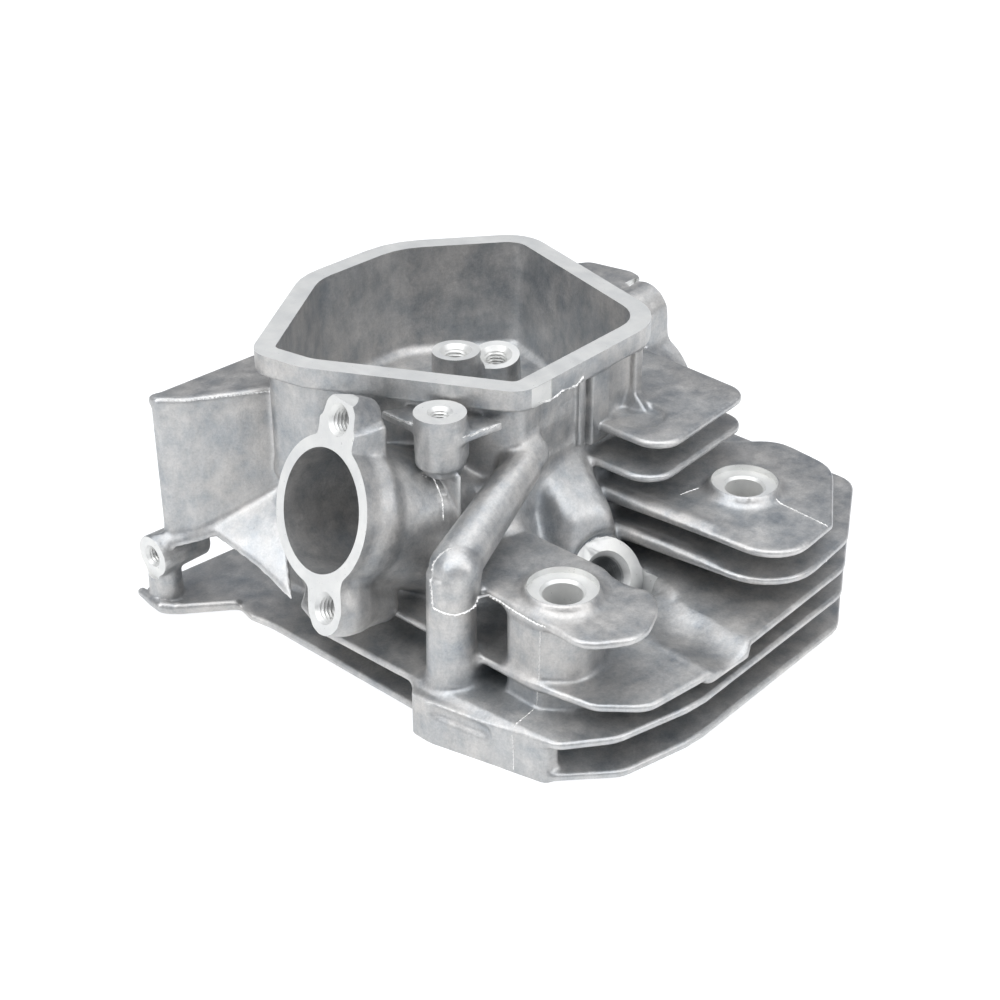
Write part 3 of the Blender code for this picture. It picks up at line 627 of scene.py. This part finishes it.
def smooth_route(points, steps=4):
    """Catmull-Rom points through a list of (point, radius)."""
    values = [np.array([*point, radius]) for point, radius in points]
    padded = [values[0]] + values + [values[-1]]
    route = []
    for index in range(1, len(padded) - 2):
        a, b, c, d = padded[index - 1:index + 3]
        for step in range(steps):
            t = step / steps
            route.append(0.5 * (2 * b + (c - a) * t + (2 * a - 5 * b + 4 * c - d) * t * t
                                + (3 * b - a - 3 * c + d) * t ** 3))
    return route + [values[-1]]


def cut_port(field, port):
    """A port that narrows as it bends from its flange down to its valve seat."""
    flat = Vector((port.normal.x, port.normal.y, 0))
    route = smooth_route([
        (port.face + port.normal * 5, port.bore), (port.face, port.bore),
        (port.face - port.normal * 22, port.bore * 0.97),
        (port.foot + port.stem * 27 + flat * 9, (port.bore + port.throat) / 2),
        (port.foot + port.stem * 17, port.throat), (port.foot + port.stem * 5, port.throat)])
    for a, b in zip(route, route[1:]):
        field.cut(capsule(a[:3], b[:3], a[3], b[3]), 1.0)


def hollow_inside(field):
    """The combustion chamber, both ports and the push rod slot."""
    curve = (CHAMBER_RADIUS ** 2 + CHAMBER_DEPTH ** 2) / (2 * CHAMBER_DEPTH)
    field.cut(ball((0, 0, CHAMBER_DEPTH - curve), curve), 1.0)
    for port in PORTS:
        cut_port(field, port)
    rod_slot = [(-20, 57, 6), (-20, 72, 6), (24, 72, 6), (24, 57, 6)]
    field.cut(slab(rod_slot, -5, BOX_FLOOR_Z + 8, 1.5), 2)


def casting_field():
    field = Field((-93, -80, -4), (93, 107, 94), STEP)
    build_core(field)
    build_columns(field)
    build_ports(field)
    build_fins(field)
    build_plug_seat(field)
    build_box(field)
    build_brackets(field)
    hollow_box(field)
    hollow_inside(field)
    return field


# ---------------------------------------------------------------- machining tools

def tool(name, work):
    """A cutter: what it cuts takes the machined look."""
    item = new_object(name, built_mesh(name, work, bpy.data.materials["machined_aluminium"]))
    item.hide_render = True
    return item


def close_rings(work, rings):
    """Faces between rings of vertices, and one over each end."""
    for low, high in zip(rings, rings[1:]):
        for n in range(len(low)):
            beside = (n + 1) % len(low)
            work.faces.new((low[n], low[beside], high[beside], high[n]))
    work.faces.new(rings[0][::-1])
    work.faces.new(rings[-1])


def turned_tool(name, origin, axis, profile):
    """A closed solid turned about an axis: profile (radius, height) from its low end to its high end."""
    work = bmesh.new()
    axes = axes_along(axis)
    sides = 64
    rings = []
    for radius, height in profile:
        turns = [2 * math.pi * n / sides for n in range(sides)]
        rings.append([work.verts.new(turned_point(origin, axes, turn, radius, height)) for turn in turns])
    close_rings(work, rings)
    return tool(name, work)


def thread_tool(name, face, axis, size, depth, chamfer=0.7):
    """A tap: it enters against axis from the face and leaves a screw thread behind a chamfer."""
    work = bmesh.new()
    axes = axes_along(axis)
    radius, pitch = size
    clearance = 0.1
    sides = 40
    rows = int(depth / pitch * 7)
    tooth = pitch * 0.55
    rings = []
    heights = [-depth + depth * n / rows for n in range(rows + 1)] + [2.0]
    for height in heights:
        ring = []
        for n in range(sides):
            phase = (height / pitch - n / sides) % 1.0
            here = radius - abs(phase * 2 - 1) * tooth
            if height > 0:
                here = radius + chamfer + clearance
            elif height > -chamfer * 2:
                here = max(here, radius + clearance + height + chamfer)
            ring.append(work.verts.new(turned_point(face, axes, 2 * math.pi * n / sides, here, height)))
        rings.append(ring)
    close_rings(work, rings)
    return tool(name, work)


def block_tool(name, centre, axes, size):
    """A block of the given size along three axes."""
    work = bmesh.new()
    bmesh.ops.create_cube(work, size=1.0)
    for vertex in work.verts:
        point = Vector(centre)
        for axis, place, length in zip(axes, vertex.co, size):
            point = point + axis * (place * length)
        vertex.co = (point + AXIS) * MM
    bmesh.ops.recalc_face_normals(work, faces=work.faces)
    return tool(name, work)


def face_cut(name, face, axes, width, height, depth=8.0):
    """A block that planes everything in front of a face."""
    return block_tool(name, Vector(face) + axes[2] * depth / 2, axes, (width, height, depth))


def machining():
    """Every cutter: faces, bores and threads, as they were machined after casting."""
    upright = (Vector((1, 0, 0)), Vector((0, 1, 0)), UP)
    hung = (Vector((0, 1, 0)), Vector((1, 0, 0)), -UP)
    along_lip = Vector((0.9978, 0.0655, 0.0))
    lip_side = (along_lip, Vector((-along_lip.y, along_lip.x, 0)), UP)
    cuts = [
        face_cut("gasket_face_cut", (0, 0, 0), hung, 220, 220),
        face_cut("cover_face_cut", (0, 46, COVER_FACE_Z), upright, 170, 140),
        block_tool("gate_scar", (-15.6, -11.2, 86.2), lip_side, (9.5, 5.0, 7.4)),
    ]
    for port in PORTS:
        ring_cut = [(port.ring + 3, 0), (port.ring + 3, 6)]
        lobe_cut = [(LOBE_RADIUS + 3, 0), (LOBE_RADIUS + 3, 6)]
        cuts.append(turned_tool(port.name + "_face_cut", port.face, port.normal, ring_cut))
        for number, place in enumerate(stud_places(port)):
            cuts.append(turned_tool(f"{port.name}_lobe_face_cut_{number}", place, port.normal, lobe_cut))
            cuts.append(thread_tool(f"{port.name}_stud_thread_{number}", place, port.normal, M8, 15))
    front_bore = [(BOLT_RADIUS, -4), (BOLT_RADIUS, BOLT_FACE_Z - 0.8), (BOLT_RADIUS + 0.8, BOLT_FACE_Z),
                  (BOLT_FACE_RADIUS, BOLT_FACE_Z), (BOLT_FACE_RADIUS, BOLT_FACE_Z + 10)]
    for number, (x, y) in enumerate(FRONT_BOLTS):
        cuts.append(turned_tool(f"bolt_bore_{number}", (x, y, 0), UP, front_bore))
    rear_bore = [(BOLT_RADIUS, -4), (BOLT_RADIUS, BOX_FLOOR_Z + 1), (BOLT_FACE_RADIUS, BOX_FLOOR_Z + 1),
                 (BOLT_FACE_RADIUS, BOX_FLOOR_Z + 9)]
    for number, (x, y) in enumerate(REAR_BOLTS):
        cuts.append(turned_tool(f"rear_bolt_bore_{number}", (x, y, 0), UP, rear_bore))
    plug_face = [(PLUG_FACE_RADIUS + 0.9, 0), (PLUG_FACE_RADIUS + 2.6, 6)]
    cuts.append(turned_tool("plug_face_cut", PLUG_FACE, PLUG_AXIS, plug_face))
    cuts.append(thread_tool("plug_thread", PLUG_FACE, PLUG_AXIS, M14, 30, 0.9))
    cuts.append(turned_tool("cover_boss_face_cut", COVER_BOSS, UP, [(7.9, 0), (7.9, 4)]))
    cuts.append(thread_tool("cover_boss_thread", COVER_BOSS, UP, M6, 14, 0.6))
    boss_face = [(BOSS_CUT_RADIUS, 0), (BOSS_CUT_RADIUS, 4)]
    for number, (foot, _, top) in enumerate(ROCKER_BOSSES):
        axis = (Vector(top) - Vector(foot)).normalized()
        cuts.append(turned_tool(f"rocker_boss_face_cut_{number}", top, axis, boss_face))
        cuts.append(thread_tool(f"rocker_boss_thread_{number}", top, axis, M8, 16, 1.1))
    cuts.append(turned_tool("lug_face_cut", LUG, -LUG_AXIS, boss_face))
    cuts.append(thread_tool("lug_thread", LUG, -LUG_AXIS, M6, 13, 0.6))
    guide_bore = [(GUIDE_BORE, 20), (GUIDE_BORE, SPRING_POCKET_FLOOR),
                  (SPRING_POCKET_RADIUS, SPRING_POCKET_FLOOR), (SPRING_POCKET_RADIUS, 48)]
    for port in PORTS:
        seat_radius = port.seat_outer + SEAT_GAP
        seat_bore = [(seat_radius, -12), (seat_radius, 7.3)]
        cuts.append(turned_tool(port.name + "_seat_bore", port.foot, port.stem, seat_bore))
        cuts.append(turned_tool(port.name + "_guide_bore", port.foot, port.stem, guide_bore))
    return cuts


def machine(item, cuts):
    """The casting's mesh after every cut."""
    for cut in cuts:
        step = item.modifiers.new(cut.name, "BOOLEAN")
        step.object = cut
        step.operation = "DIFFERENCE"
        step.solver = "MANIFOLD"
        step.material_mode = "TRANSFER"
    mesh = evaluated_mesh(item)
    for cut in cuts:
        bpy.data.objects.remove(cut, do_unlink=True)
    return mesh


def blurred(values, radius):
    """Mean over a box of about the given radius, in cells, twice."""
    for _ in range(2):
        for axis in range(3):
            count = values.shape[axis]
            total = np.cumsum(values, axis=axis, dtype=np.float64)
            ahead = np.take(total, np.minimum(np.arange(count) + radius, count - 1), axis)
            behind = np.take(total, np.maximum(np.arange(count) - radius - 1, 0), axis)
            values = ((ahead - behind) / (2 * radius + 1)).astype(np.float32)
    return values


def sampled(grid, cells):
    """Grid values at places given in cells, between the nearest eight."""
    low = np.clip(np.floor(cells).astype(int), 0, np.array(grid.shape) - 2)
    t = np.clip(cells - low, 0, 1)
    result = np.zeros(len(cells))
    for corner in ((i, j, k) for i in (0, 1) for j in (0, 1) for k in (0, 1)):
        weight = np.prod([t[:, n] if corner[n] else 1 - t[:, n] for n in range(3)], axis=0)
        result += weight * grid[tuple((low + corner).T)]
    return result


def mark_shade_and_highlight_masks(mesh, field):
    """Two values for each vertex: how much metal is close round it, and how much is further round it. The
    materials paint a highlight on edges and shade in hollows from them.
    """
    filled = np.clip(0.5 - field.values / field.step, 0, 1)
    places = np.empty(len(mesh.vertices) * 3, np.float32)
    mesh.vertices.foreach_get("co", places)
    cells = (places.reshape(-1, 3) / MM - np.array(AXIS) - field.low) / field.step
    for name, reach in (("edge", 1.2), ("hollow", 7.0)):
        values = sampled(blurred(filled, max(1, round(reach / field.step))), cells)
        mesh.attributes.new(name, "FLOAT", "POINT").data.foreach_set("value", values.astype(np.float32))


def casting(look):
    """The casting: drawn as a field, meshed, thinned, machined and marked with the masks for its painted
    shade and highlight.
    """
    field = casting_field()
    points, quads = surface(field)
    rough = new_object("head_casting_rough", mesh_from("head_casting_rough", points, quads))
    thin = rough.modifiers.new("thin", "DECIMATE")
    thin.ratio = min(1.0, CASTING_TRIANGLES / (2 * len(quads)))
    thin_mesh = evaluated_mesh(rough)
    bpy.data.objects.remove(rough, do_unlink=True)
    thin_mesh.materials.append(look)
    item = new_object("head_casting_detail", thin_mesh)
    mesh = machine(item, machining())
    item.modifiers.clear()
    item.data = mesh
    mark_shade_and_highlight_masks(mesh, field)
    mesh.shade_smooth()
    mesh.set_sharp_from_angle(angle=math.radians(38))
    return item


# ---------------------------------------------------------------- flash

FLASH_DEPTH = 0.25         # how far a ridge's foot is sunk
FLASH_HALF_WIDTH = 0.35

# Thin flash where the dies met: height of the ridge, then its course over the casting
FLASH_LINES = [
    (0.7, [(-61, -18, 62), (-62.5, -16.5, 58.4), (-66.5, -14.5, 54.5), (-68.2, -16.5, 49), (-68.2, -17, 42.5),
           (-65.2, -22.6, 41.2), (-59, -24.6, 42), (-56, -26, 44.3), (-55.6, -31, 44.3), (-57.6, -48, 44.3)]),
    (0.5, [(-57, -46.5, 41), (-57, -46.2, 34), (-57, -46, 26)]),
    (0.4, [(-55, -45, 22), (-55, -44.7, 16)]),
    (0.4, [(-56, -44.7, 15.4), (-66.1, -46, 15.4)]),
    (0.4, [(-67.2, -46.3, 13), (-66.6, -46.8, 1)]),
    (0.4, [(41.8, -51.7, 45.3), (40.4, -73.4, 45.3)]),
    (0.3, [(24.7, -29.6, 45.3), (32.2, -31.2, 45.3)]),
    (0.5, [(40.6, -74.2, 34), (40.4, -74, 32.5)]),
    (0.7, [(-17, -9.2, 84.6), (-12, -8.9, 82.9), (-6, -8.6, 84.4), (0, -8.2, 83.2), (4, -8, 85.5)]),
    (0.5, [(-79.4, 88.6, 74), (-74, 82.3, 74), (-47.5, 66.4, 74)]),
    (0.8, [(-46, 26.5, 80), (-46.2, 20, 80), (-45, 13.5, 80)]),
    (0.8, [(-41, -2.6, 80), (-34, -3.6, 80), (-27, -3.6, 80)]),
    (0.5, [(-44, 9, 66), (-45.5, 2, 60), (-48, -3, 56)]),
]


def along(course, step=0.5):
    """Points along a line of points, about step apart."""
    points = []
    for start, end in zip(course, course[1:]):
        start, end = Vector(start), Vector(end)
        count = max(2, round((end - start).length / step))
        points += [start.lerp(end, n / count) for n in range(count)]
    return points + [Vector(course[-1])]


def flash(surface_mesh, look):
    """Ragged ridges of flash, laid on the nearest part of the casting."""
    places = [tuple(vertex.co) for vertex in surface_mesh.vertices]
    tree = BVHTree.FromPolygons(places, [tuple(face.vertices) for face in surface_mesh.polygons])
    work = bmesh.new()
    for height, course in FLASH_LINES:
        snapped = [tree.find_nearest((point + AXIS) * MM)[:2] for point in along(course)]
        last = len(snapped) - 1
        previous = None
        for number, (place, normal) in enumerate(snapped):
            run = snapped[min(number + 1, last)][0] - snapped[max(number - 1, 0)][0]
            across = run.cross(normal).normalized()
            waves = 0.3 * math.sin(number * 1.7) * math.sin(number * 0.63)
            ragged = 0.55 + waves + 0.15 * math.sin(number * 4.1)
            taper = min(1.0, number / 3 + 0.2, (last - number) / 3 + 0.2)
            lean = across * (0.12 * math.sin(number * 2.3) * MM)
            tip = place + normal * (height * ragged * taper * MM) + lean
            foot = place - normal * (FLASH_DEPTH * MM)
            side = across * (FLASH_HALF_WIDTH * MM)
            ring = [work.verts.new(foot - side), work.verts.new(foot + side), work.verts.new(tip)]
            if previous:
                for k in range(3):
                    work.faces.new((previous[k], previous[(k + 1) % 3], ring[(k + 1) % 3], ring[k]))
            else:
                work.faces.new(ring)
            previous = ring
        work.faces.new(previous[::-1])
    bmesh.ops.recalc_face_normals(work, faces=work.faces)
    return new_object("casting_flash", built_mesh("casting_flash", work, look))


# ---------------------------------------------------------------- materials

class Look:
    """A material with the few node patterns that the finishes share."""

    def __init__(self, name, metallic, roughness, colour=(0.5, 0.5, 0.5)):
        self.item = bpy.data.materials.new(name)
        self.item.use_nodes = True
        self.nodes, self.links = self.item.node_tree.nodes, self.item.node_tree.links
        self.shader = self.nodes["Principled BSDF"]
        self.shader.inputs["Metallic"].default_value = metallic
        self.shader.inputs["Roughness"].default_value = roughness
        self.shader.inputs["Base Color"].default_value = (*colour, 1)

    def add(self, kind, **values):
        node = self.nodes.new("ShaderNode" + kind)
        for name, value in values.items():
            node.inputs[name.replace("_", " ")].default_value = value
        return node

    def noise(self, scale, detail=4.0, roughness=0.6, stretch=(1, 1, 1)):
        """Noise over the piece, scale in patches for each metre."""
        coordinates = self.add("TexCoord")
        mapping = self.add("Mapping", Scale=stretch)
        node = self.add("TexNoise", Scale=scale, Detail=detail, Roughness=roughness)
        self.links.new(coordinates.outputs["Object"], mapping.inputs["Vector"])
        self.links.new(mapping.outputs["Vector"], node.inputs["Vector"])
        return node.outputs["Fac"]

    def attribute(self, name):
        node = self.add("Attribute")
        node.attribute_name = name
        return node.outputs["Fac"]

    def ramp(self, source, stops):
        """Colours (position, (r, g, b)) along a value."""
        node = self.add("ValToRGB")
        self.links.new(source, node.inputs["Fac"])
        elements = node.color_ramp.elements
        while len(elements) < len(stops):
            elements.new(0.5)
        for element, (position, colour) in zip(elements, stops):
            element.position = position
            element.color = (*colour, 1)
        return node.outputs["Color"]

    def grey(self, source, *stops):
        return self.ramp(source, [(position, (value,) * 3) for position, value in stops])

    def mix(self, factor, first, second, kind="MIX"):
        node = self.add("Mix")
        node.data_type = "RGBA"
        node.blend_type = kind
        for value, socket in ((factor, node.inputs[0]), (first, node.inputs[6]), (second, node.inputs[7])):
            if isinstance(value, (int, float)):
                socket.default_value = value
            elif isinstance(value, tuple):
                socket.default_value = (*value, 1)
            else:
                self.links.new(value, socket)
        return node.outputs[2]

    def bump(self, *layers):
        """Layers (height, strength, millimetres) of relief, one on another."""
        normal = None
        for height, strength, depth in layers:
            node = self.add("Bump", Strength=strength, Distance=depth * MM)
            self.links.new(height, node.inputs["Height"])
            if normal:
                self.links.new(normal, node.inputs["Normal"])
            normal = node.outputs["Normal"]
        self.links.new(normal, self.shader.inputs["Normal"])

    def wire(self, socket, source):
        self.links.new(source, self.shader.inputs[socket])


def cast_look():
    """Bare pressure die-cast aluminium: fine grey mottling, painted shade in the hollows, painted highlight
    along the edges.
    """
    look = Look("cast_aluminium", 0.8, 0.42)
    clouds = look.noise(30, 5, 0.6)
    patches = look.noise(120, 8, 0.72)
    flow = look.noise(260, 6, 0.7, (1, 1, 0.35))
    grain = look.noise(1600, 4, 0.65)
    dark, middle, pale = (0.345, 0.36, 0.375), (0.465, 0.467, 0.465), (0.60, 0.592, 0.58)
    colour = look.ramp(patches, [(0.32, dark), (0.5, middle), (0.7, pale)])
    tint = look.ramp(clouds, [(0.36, (0.42, 0.45, 0.49)), (0.62, (0.60, 0.565, 0.54))])
    colour = look.mix(0.55, colour, tint, "SOFT_LIGHT")
    colour = look.mix(0.35, colour, look.grey(flow, (0.3, 0.25), (0.5, 0.5), (0.72, 0.8)), "SOFT_LIGHT")
    colour = look.mix(0.30, colour, look.grey(grain, (0.3, 0.2), (0.7, 0.8)), "SOFT_LIGHT")
    # Painted shade: the colour is darkened and turned blue-grey where much metal surrounds the surface, in
    # hollows and recesses.
    shade = look.ramp(look.attribute("hollow"), [(0.45, (1, 1, 1)), (0.75, (0.66, 0.70, 0.74))])
    colour = look.mix(1.0, colour, shade, "MULTIPLY")
    # Painted highlight: thin convex edges are lightened towards pale aluminium, in patches set by the flow
    # noise.
    edge = look.grey(look.attribute("edge"), (0.14, 1.0), (0.36, 0.0))
    edge_highlight = look.mix(1.0, edge, look.grey(flow, (0.3, 0.4), (0.6, 1.0)), "MULTIPLY")
    colour = look.mix(edge_highlight, colour, (0.86, 0.855, 0.84))
    look.wire("Base Color", colour)
    look.wire("Roughness", look.grey(patches, (0.3, 0.36), (0.7, 0.52)))
    look.bump((clouds, 0.3, 1.0), (patches, 0.4, 0.35), (flow, 0.35, 0.2), (grain, 0.5, 0.06))
    return look.item


def machined_look():
    """Milled and turned faces: near white with fine tool marks, with painted shade down their bores."""
    look = Look("machined_aluminium", 0.45, 0.4)
    marks = look.noise(700, 2, 0.5, (1, 0.12, 1))
    pores = look.noise(1500, 2, 0.5)
    patches = look.noise(90, 5, 0.6)
    colour = look.ramp(patches, [(0.35, (0.66, 0.665, 0.66)), (0.65, (0.76, 0.758, 0.74))])
    colour = look.mix(1.0, colour, look.grey(pores, (0.24, 0.6), (0.31, 1.0)), "MULTIPLY")
    # Painted shade: machined faces deep in the metal, such as bores, are darkened almost to black.
    shade = look.ramp(look.attribute("hollow"), [(0.58, (1, 1, 1)), (0.74, (0.24, 0.25, 0.26))])
    colour = look.mix(1.0, colour, shade, "MULTIPLY")
    look.wire("Base Color", colour)
    look.wire("Roughness", look.grey(marks, (0.3, 0.34), (0.7, 0.48)))
    look.bump((marks, 0.3, 0.08), (pores, 0.2, 0.05))
    return look.item


def flash_look():
    """Fresh thin metal along the parting lines."""
    look = Look("flash_aluminium", 0.6, 0.35)
    patches = look.noise(400, 4, 0.6)
    look.wire("Base Color", look.ramp(patches, [(0.35, (0.72, 0.72, 0.71)), (0.65, (0.90, 0.895, 0.88))]))
    look.bump((patches, 0.4, 0.1))
    return look.item


def steel_look(name, colour, roughness):
    """Turned or ground steel with darker patches."""
    look = Look(name, 1.0, roughness)
    patches = look.noise(220, 4, 0.6)
    grain = look.noise(2500, 2, 0.5)
    dark = tuple(value * 0.7 for value in colour)
    look.wire("Base Color", look.ramp(patches, [(0.35, dark), (0.65, colour)]))
    look.wire("Roughness", look.grey(grain, (0.3, roughness - 0.08), (0.7, roughness + 0.1)))
    look.bump((grain, 0.3, 0.04))
    return look.item


def floor_look():
    """A white sweep lit from below, so that only the contact shadow shows."""
    look = Look("floor_white", 0.0, 0.95, (0.32, 0.32, 0.32))
    look.shader.inputs["Specular IOR Level"].default_value = 0.0
    look.shader.inputs["Emission Color"].default_value = (0.97, 0.985, 1, 1)
    look.shader.inputs["Emission Strength"].default_value = 0.86
    return look.item


# ---------------------------------------------------------------- stage

def studio_world():
    """Soft light from above over a dark horizon, which level faces of the casting mirror."""
    world = bpy.data.worlds.new("studio")
    world.use_nodes = True
    nodes, links = world.node_tree.nodes, world.node_tree.links
    coordinates = nodes.new("ShaderNodeTexCoord")
    split = nodes.new("ShaderNodeSeparateXYZ")
    ramp = nodes.new("ShaderNodeValToRGB")
    links.new(coordinates.outputs["Generated"], split.inputs["Vector"])
    links.new(split.outputs["Z"], ramp.inputs["Fac"])
    links.new(ramp.outputs["Color"], nodes["Background"].inputs["Color"])
    ramp.color_ramp.elements[0].position = 0.1
    ramp.color_ramp.elements[0].color = (0.30, 0.31, 0.33, 1)
    ramp.color_ramp.elements[1].position = 0.9
    ramp.color_ramp.elements[1].color = (0.75, 0.78, 0.82, 1)
    middle = ramp.color_ramp.elements.new(0.45)
    middle.color = (0.14, 0.145, 0.16, 1)
    nodes["Background"].inputs["Strength"].default_value = 1.0
    bpy.context.scene.world = world


def softbox(name, place, size, power):
    """A square lamp aimed at the middle of the head."""
    lamp = bpy.data.lights.new(name, "AREA")
    lamp.energy = power
    lamp.size = size
    item = new_object(name, lamp)
    item.location = place
    aim = Vector((0, 0, 0.05)) - Vector(place)
    item.rotation_euler = aim.to_track_quat("-Z", "Y").to_euler()


def stage():
    """The table, the light and the camera."""
    work = bmesh.new()
    bmesh.ops.create_grid(work, x_segments=1, y_segments=1, size=6.0)
    floor = new_object("floor", built_mesh("floor", work, floor_look()))
    studio_world()
    softbox("top_light", (-0.15, -0.1, 1.1), 1.5, 12)
    softbox("left_light", (-1.0, 0.2, 0.7), 0.7, 5)
    softbox("front_light", (0.3, -1.1, 0.7), 0.7, 5)
    lens = bpy.data.cameras.new("camera")
    lens.lens = 64.8
    lens.sensor_width = 36.0
    camera = new_object("camera", lens)
    camera.location = (-0.3563, -0.3334, 0.3180)
    camera.rotation_euler = (math.radians(60), 0, math.radians(-46.05))
    scene = bpy.context.scene
    scene.camera = camera
    scene.view_settings.view_transform = "Standard"


def ring_piece(name, port, profile, look, sides):
    """A turned piece: profile (radius, height) runs up its outside and down its bore."""
    work = bmesh.new()
    axes = axes_along(port.stem)
    rings = []
    for n in range(sides):
        turn = 2 * math.pi * n / sides
        rings.append([work.verts.new(turned_point(port.foot, axes, turn, *point)) for point in profile])
    count = len(profile)
    for n in range(sides):
        here, there = rings[n], rings[(n + 1) % sides]
        for k in range(count):
            work.faces.new((here[k], there[k], there[(k + 1) % count], here[(k + 1) % count]))
    bmesh.ops.recalc_face_normals(work, faces=work.faces)
    mesh = built_mesh(name, work, look)
    mesh.shade_smooth()
    mesh.set_sharp_from_angle(angle=math.radians(30))
    return new_object(name, mesh)


def seat_piece(port, look):
    """A seat ring with the narrow 45 degree band between its two relief cuts."""
    outer, inner = port.seat_outer, port.seat_inner
    profile = [(outer - 0.4, 0.0), (outer, 0.4), (outer, 6.4), (outer - 0.6, 7.0), (inner, 7.0), (inner, 2.9),
               (inner + 0.55, 1.95), (inner + 1.65, 0.85), (inner + 2.3, 0.5), (outer - 1.0, 0.0)]
    return ring_piece(port.name + "_seat_detail", port, profile, look, 96)


def guide_piece(port, look):
    """A guide with a lead-in at its foot and a groove under its rounded top."""
    profile = [(2.8, 23.3), (3.3, 23.0), (4.3, 23.0), (5.5, 26.0), (5.5, 50.2), (5.1, 50.5), (5.1, 51.5),
               (5.5, 51.8), (5.5, 53.6), (4.5, 55.0), (3.2, 55.0), (2.8, 54.6)]
    return ring_piece(port.name + "_guide_detail", port, profile, look, 48)


def clip_piece(name, port, look):
    """A wire ring with a gap, its two ends turned outwards."""
    first, second, third = axes_along(port.stem)
    wire, radius, height = 0.8, 6.6, 45.6
    gap = 18
    curve = bpy.data.curves.new(name, "CURVE")
    curve.dimensions = "3D"
    curve.bevel_depth = wire * MM
    curve.bevel_resolution = 4
    curve.use_fill_caps = True
    path = curve.splines.new("POLY")
    turns = [math.radians(gap + (360 - 2 * gap) * n / 60) for n in range(61)]
    points = [(first * math.cos(a) + second * math.sin(a)) * radius for a in turns]
    points = [points[0] + first * 0.9 + second * 0.2] + points + [points[-1] + first * 0.9 - second * 0.2]
    path.points.add(len(points) - 1)
    for place, point in zip(path.points, points):
        place.co = (*((port.foot + third * height + point + AXIS) * MM), 1)
    bent = new_object(name + "_wire", curve)
    mesh = evaluated_mesh(bent)
    bpy.data.objects.remove(bent, do_unlink=True)
    mesh.materials.clear()
    mesh.materials.append(look)
    mesh.shade_smooth()
    return new_object(name + "_detail", mesh)


def place_piece(item, node):
    """A piece shown in place of a CAD node."""
    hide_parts(node)
    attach(item, "root")


stage()
machined_look()
sintered = steel_look("sintered_steel", (0.52, 0.51, 0.50), 0.38)
iron = steel_look("guide_iron", (0.30, 0.29, 0.28), 0.42)
spring = steel_look("spring_steel", (0.42, 0.42, 0.43), 0.30)

head = casting(cast_look())
place_piece(head, "head_casting")
ridges = flash(head.data, flash_look())
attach(ridges, "root")
for port in PORTS:
    place_piece(seat_piece(port, sintered), port.name + "_valve_seat")
for port in PORTS:
    place_piece(guide_piece(port, iron), port.name + "_valve_guide")
place_piece(clip_piece("valve_guide_clip", EXHAUST, spring), "valve_guide_clip")
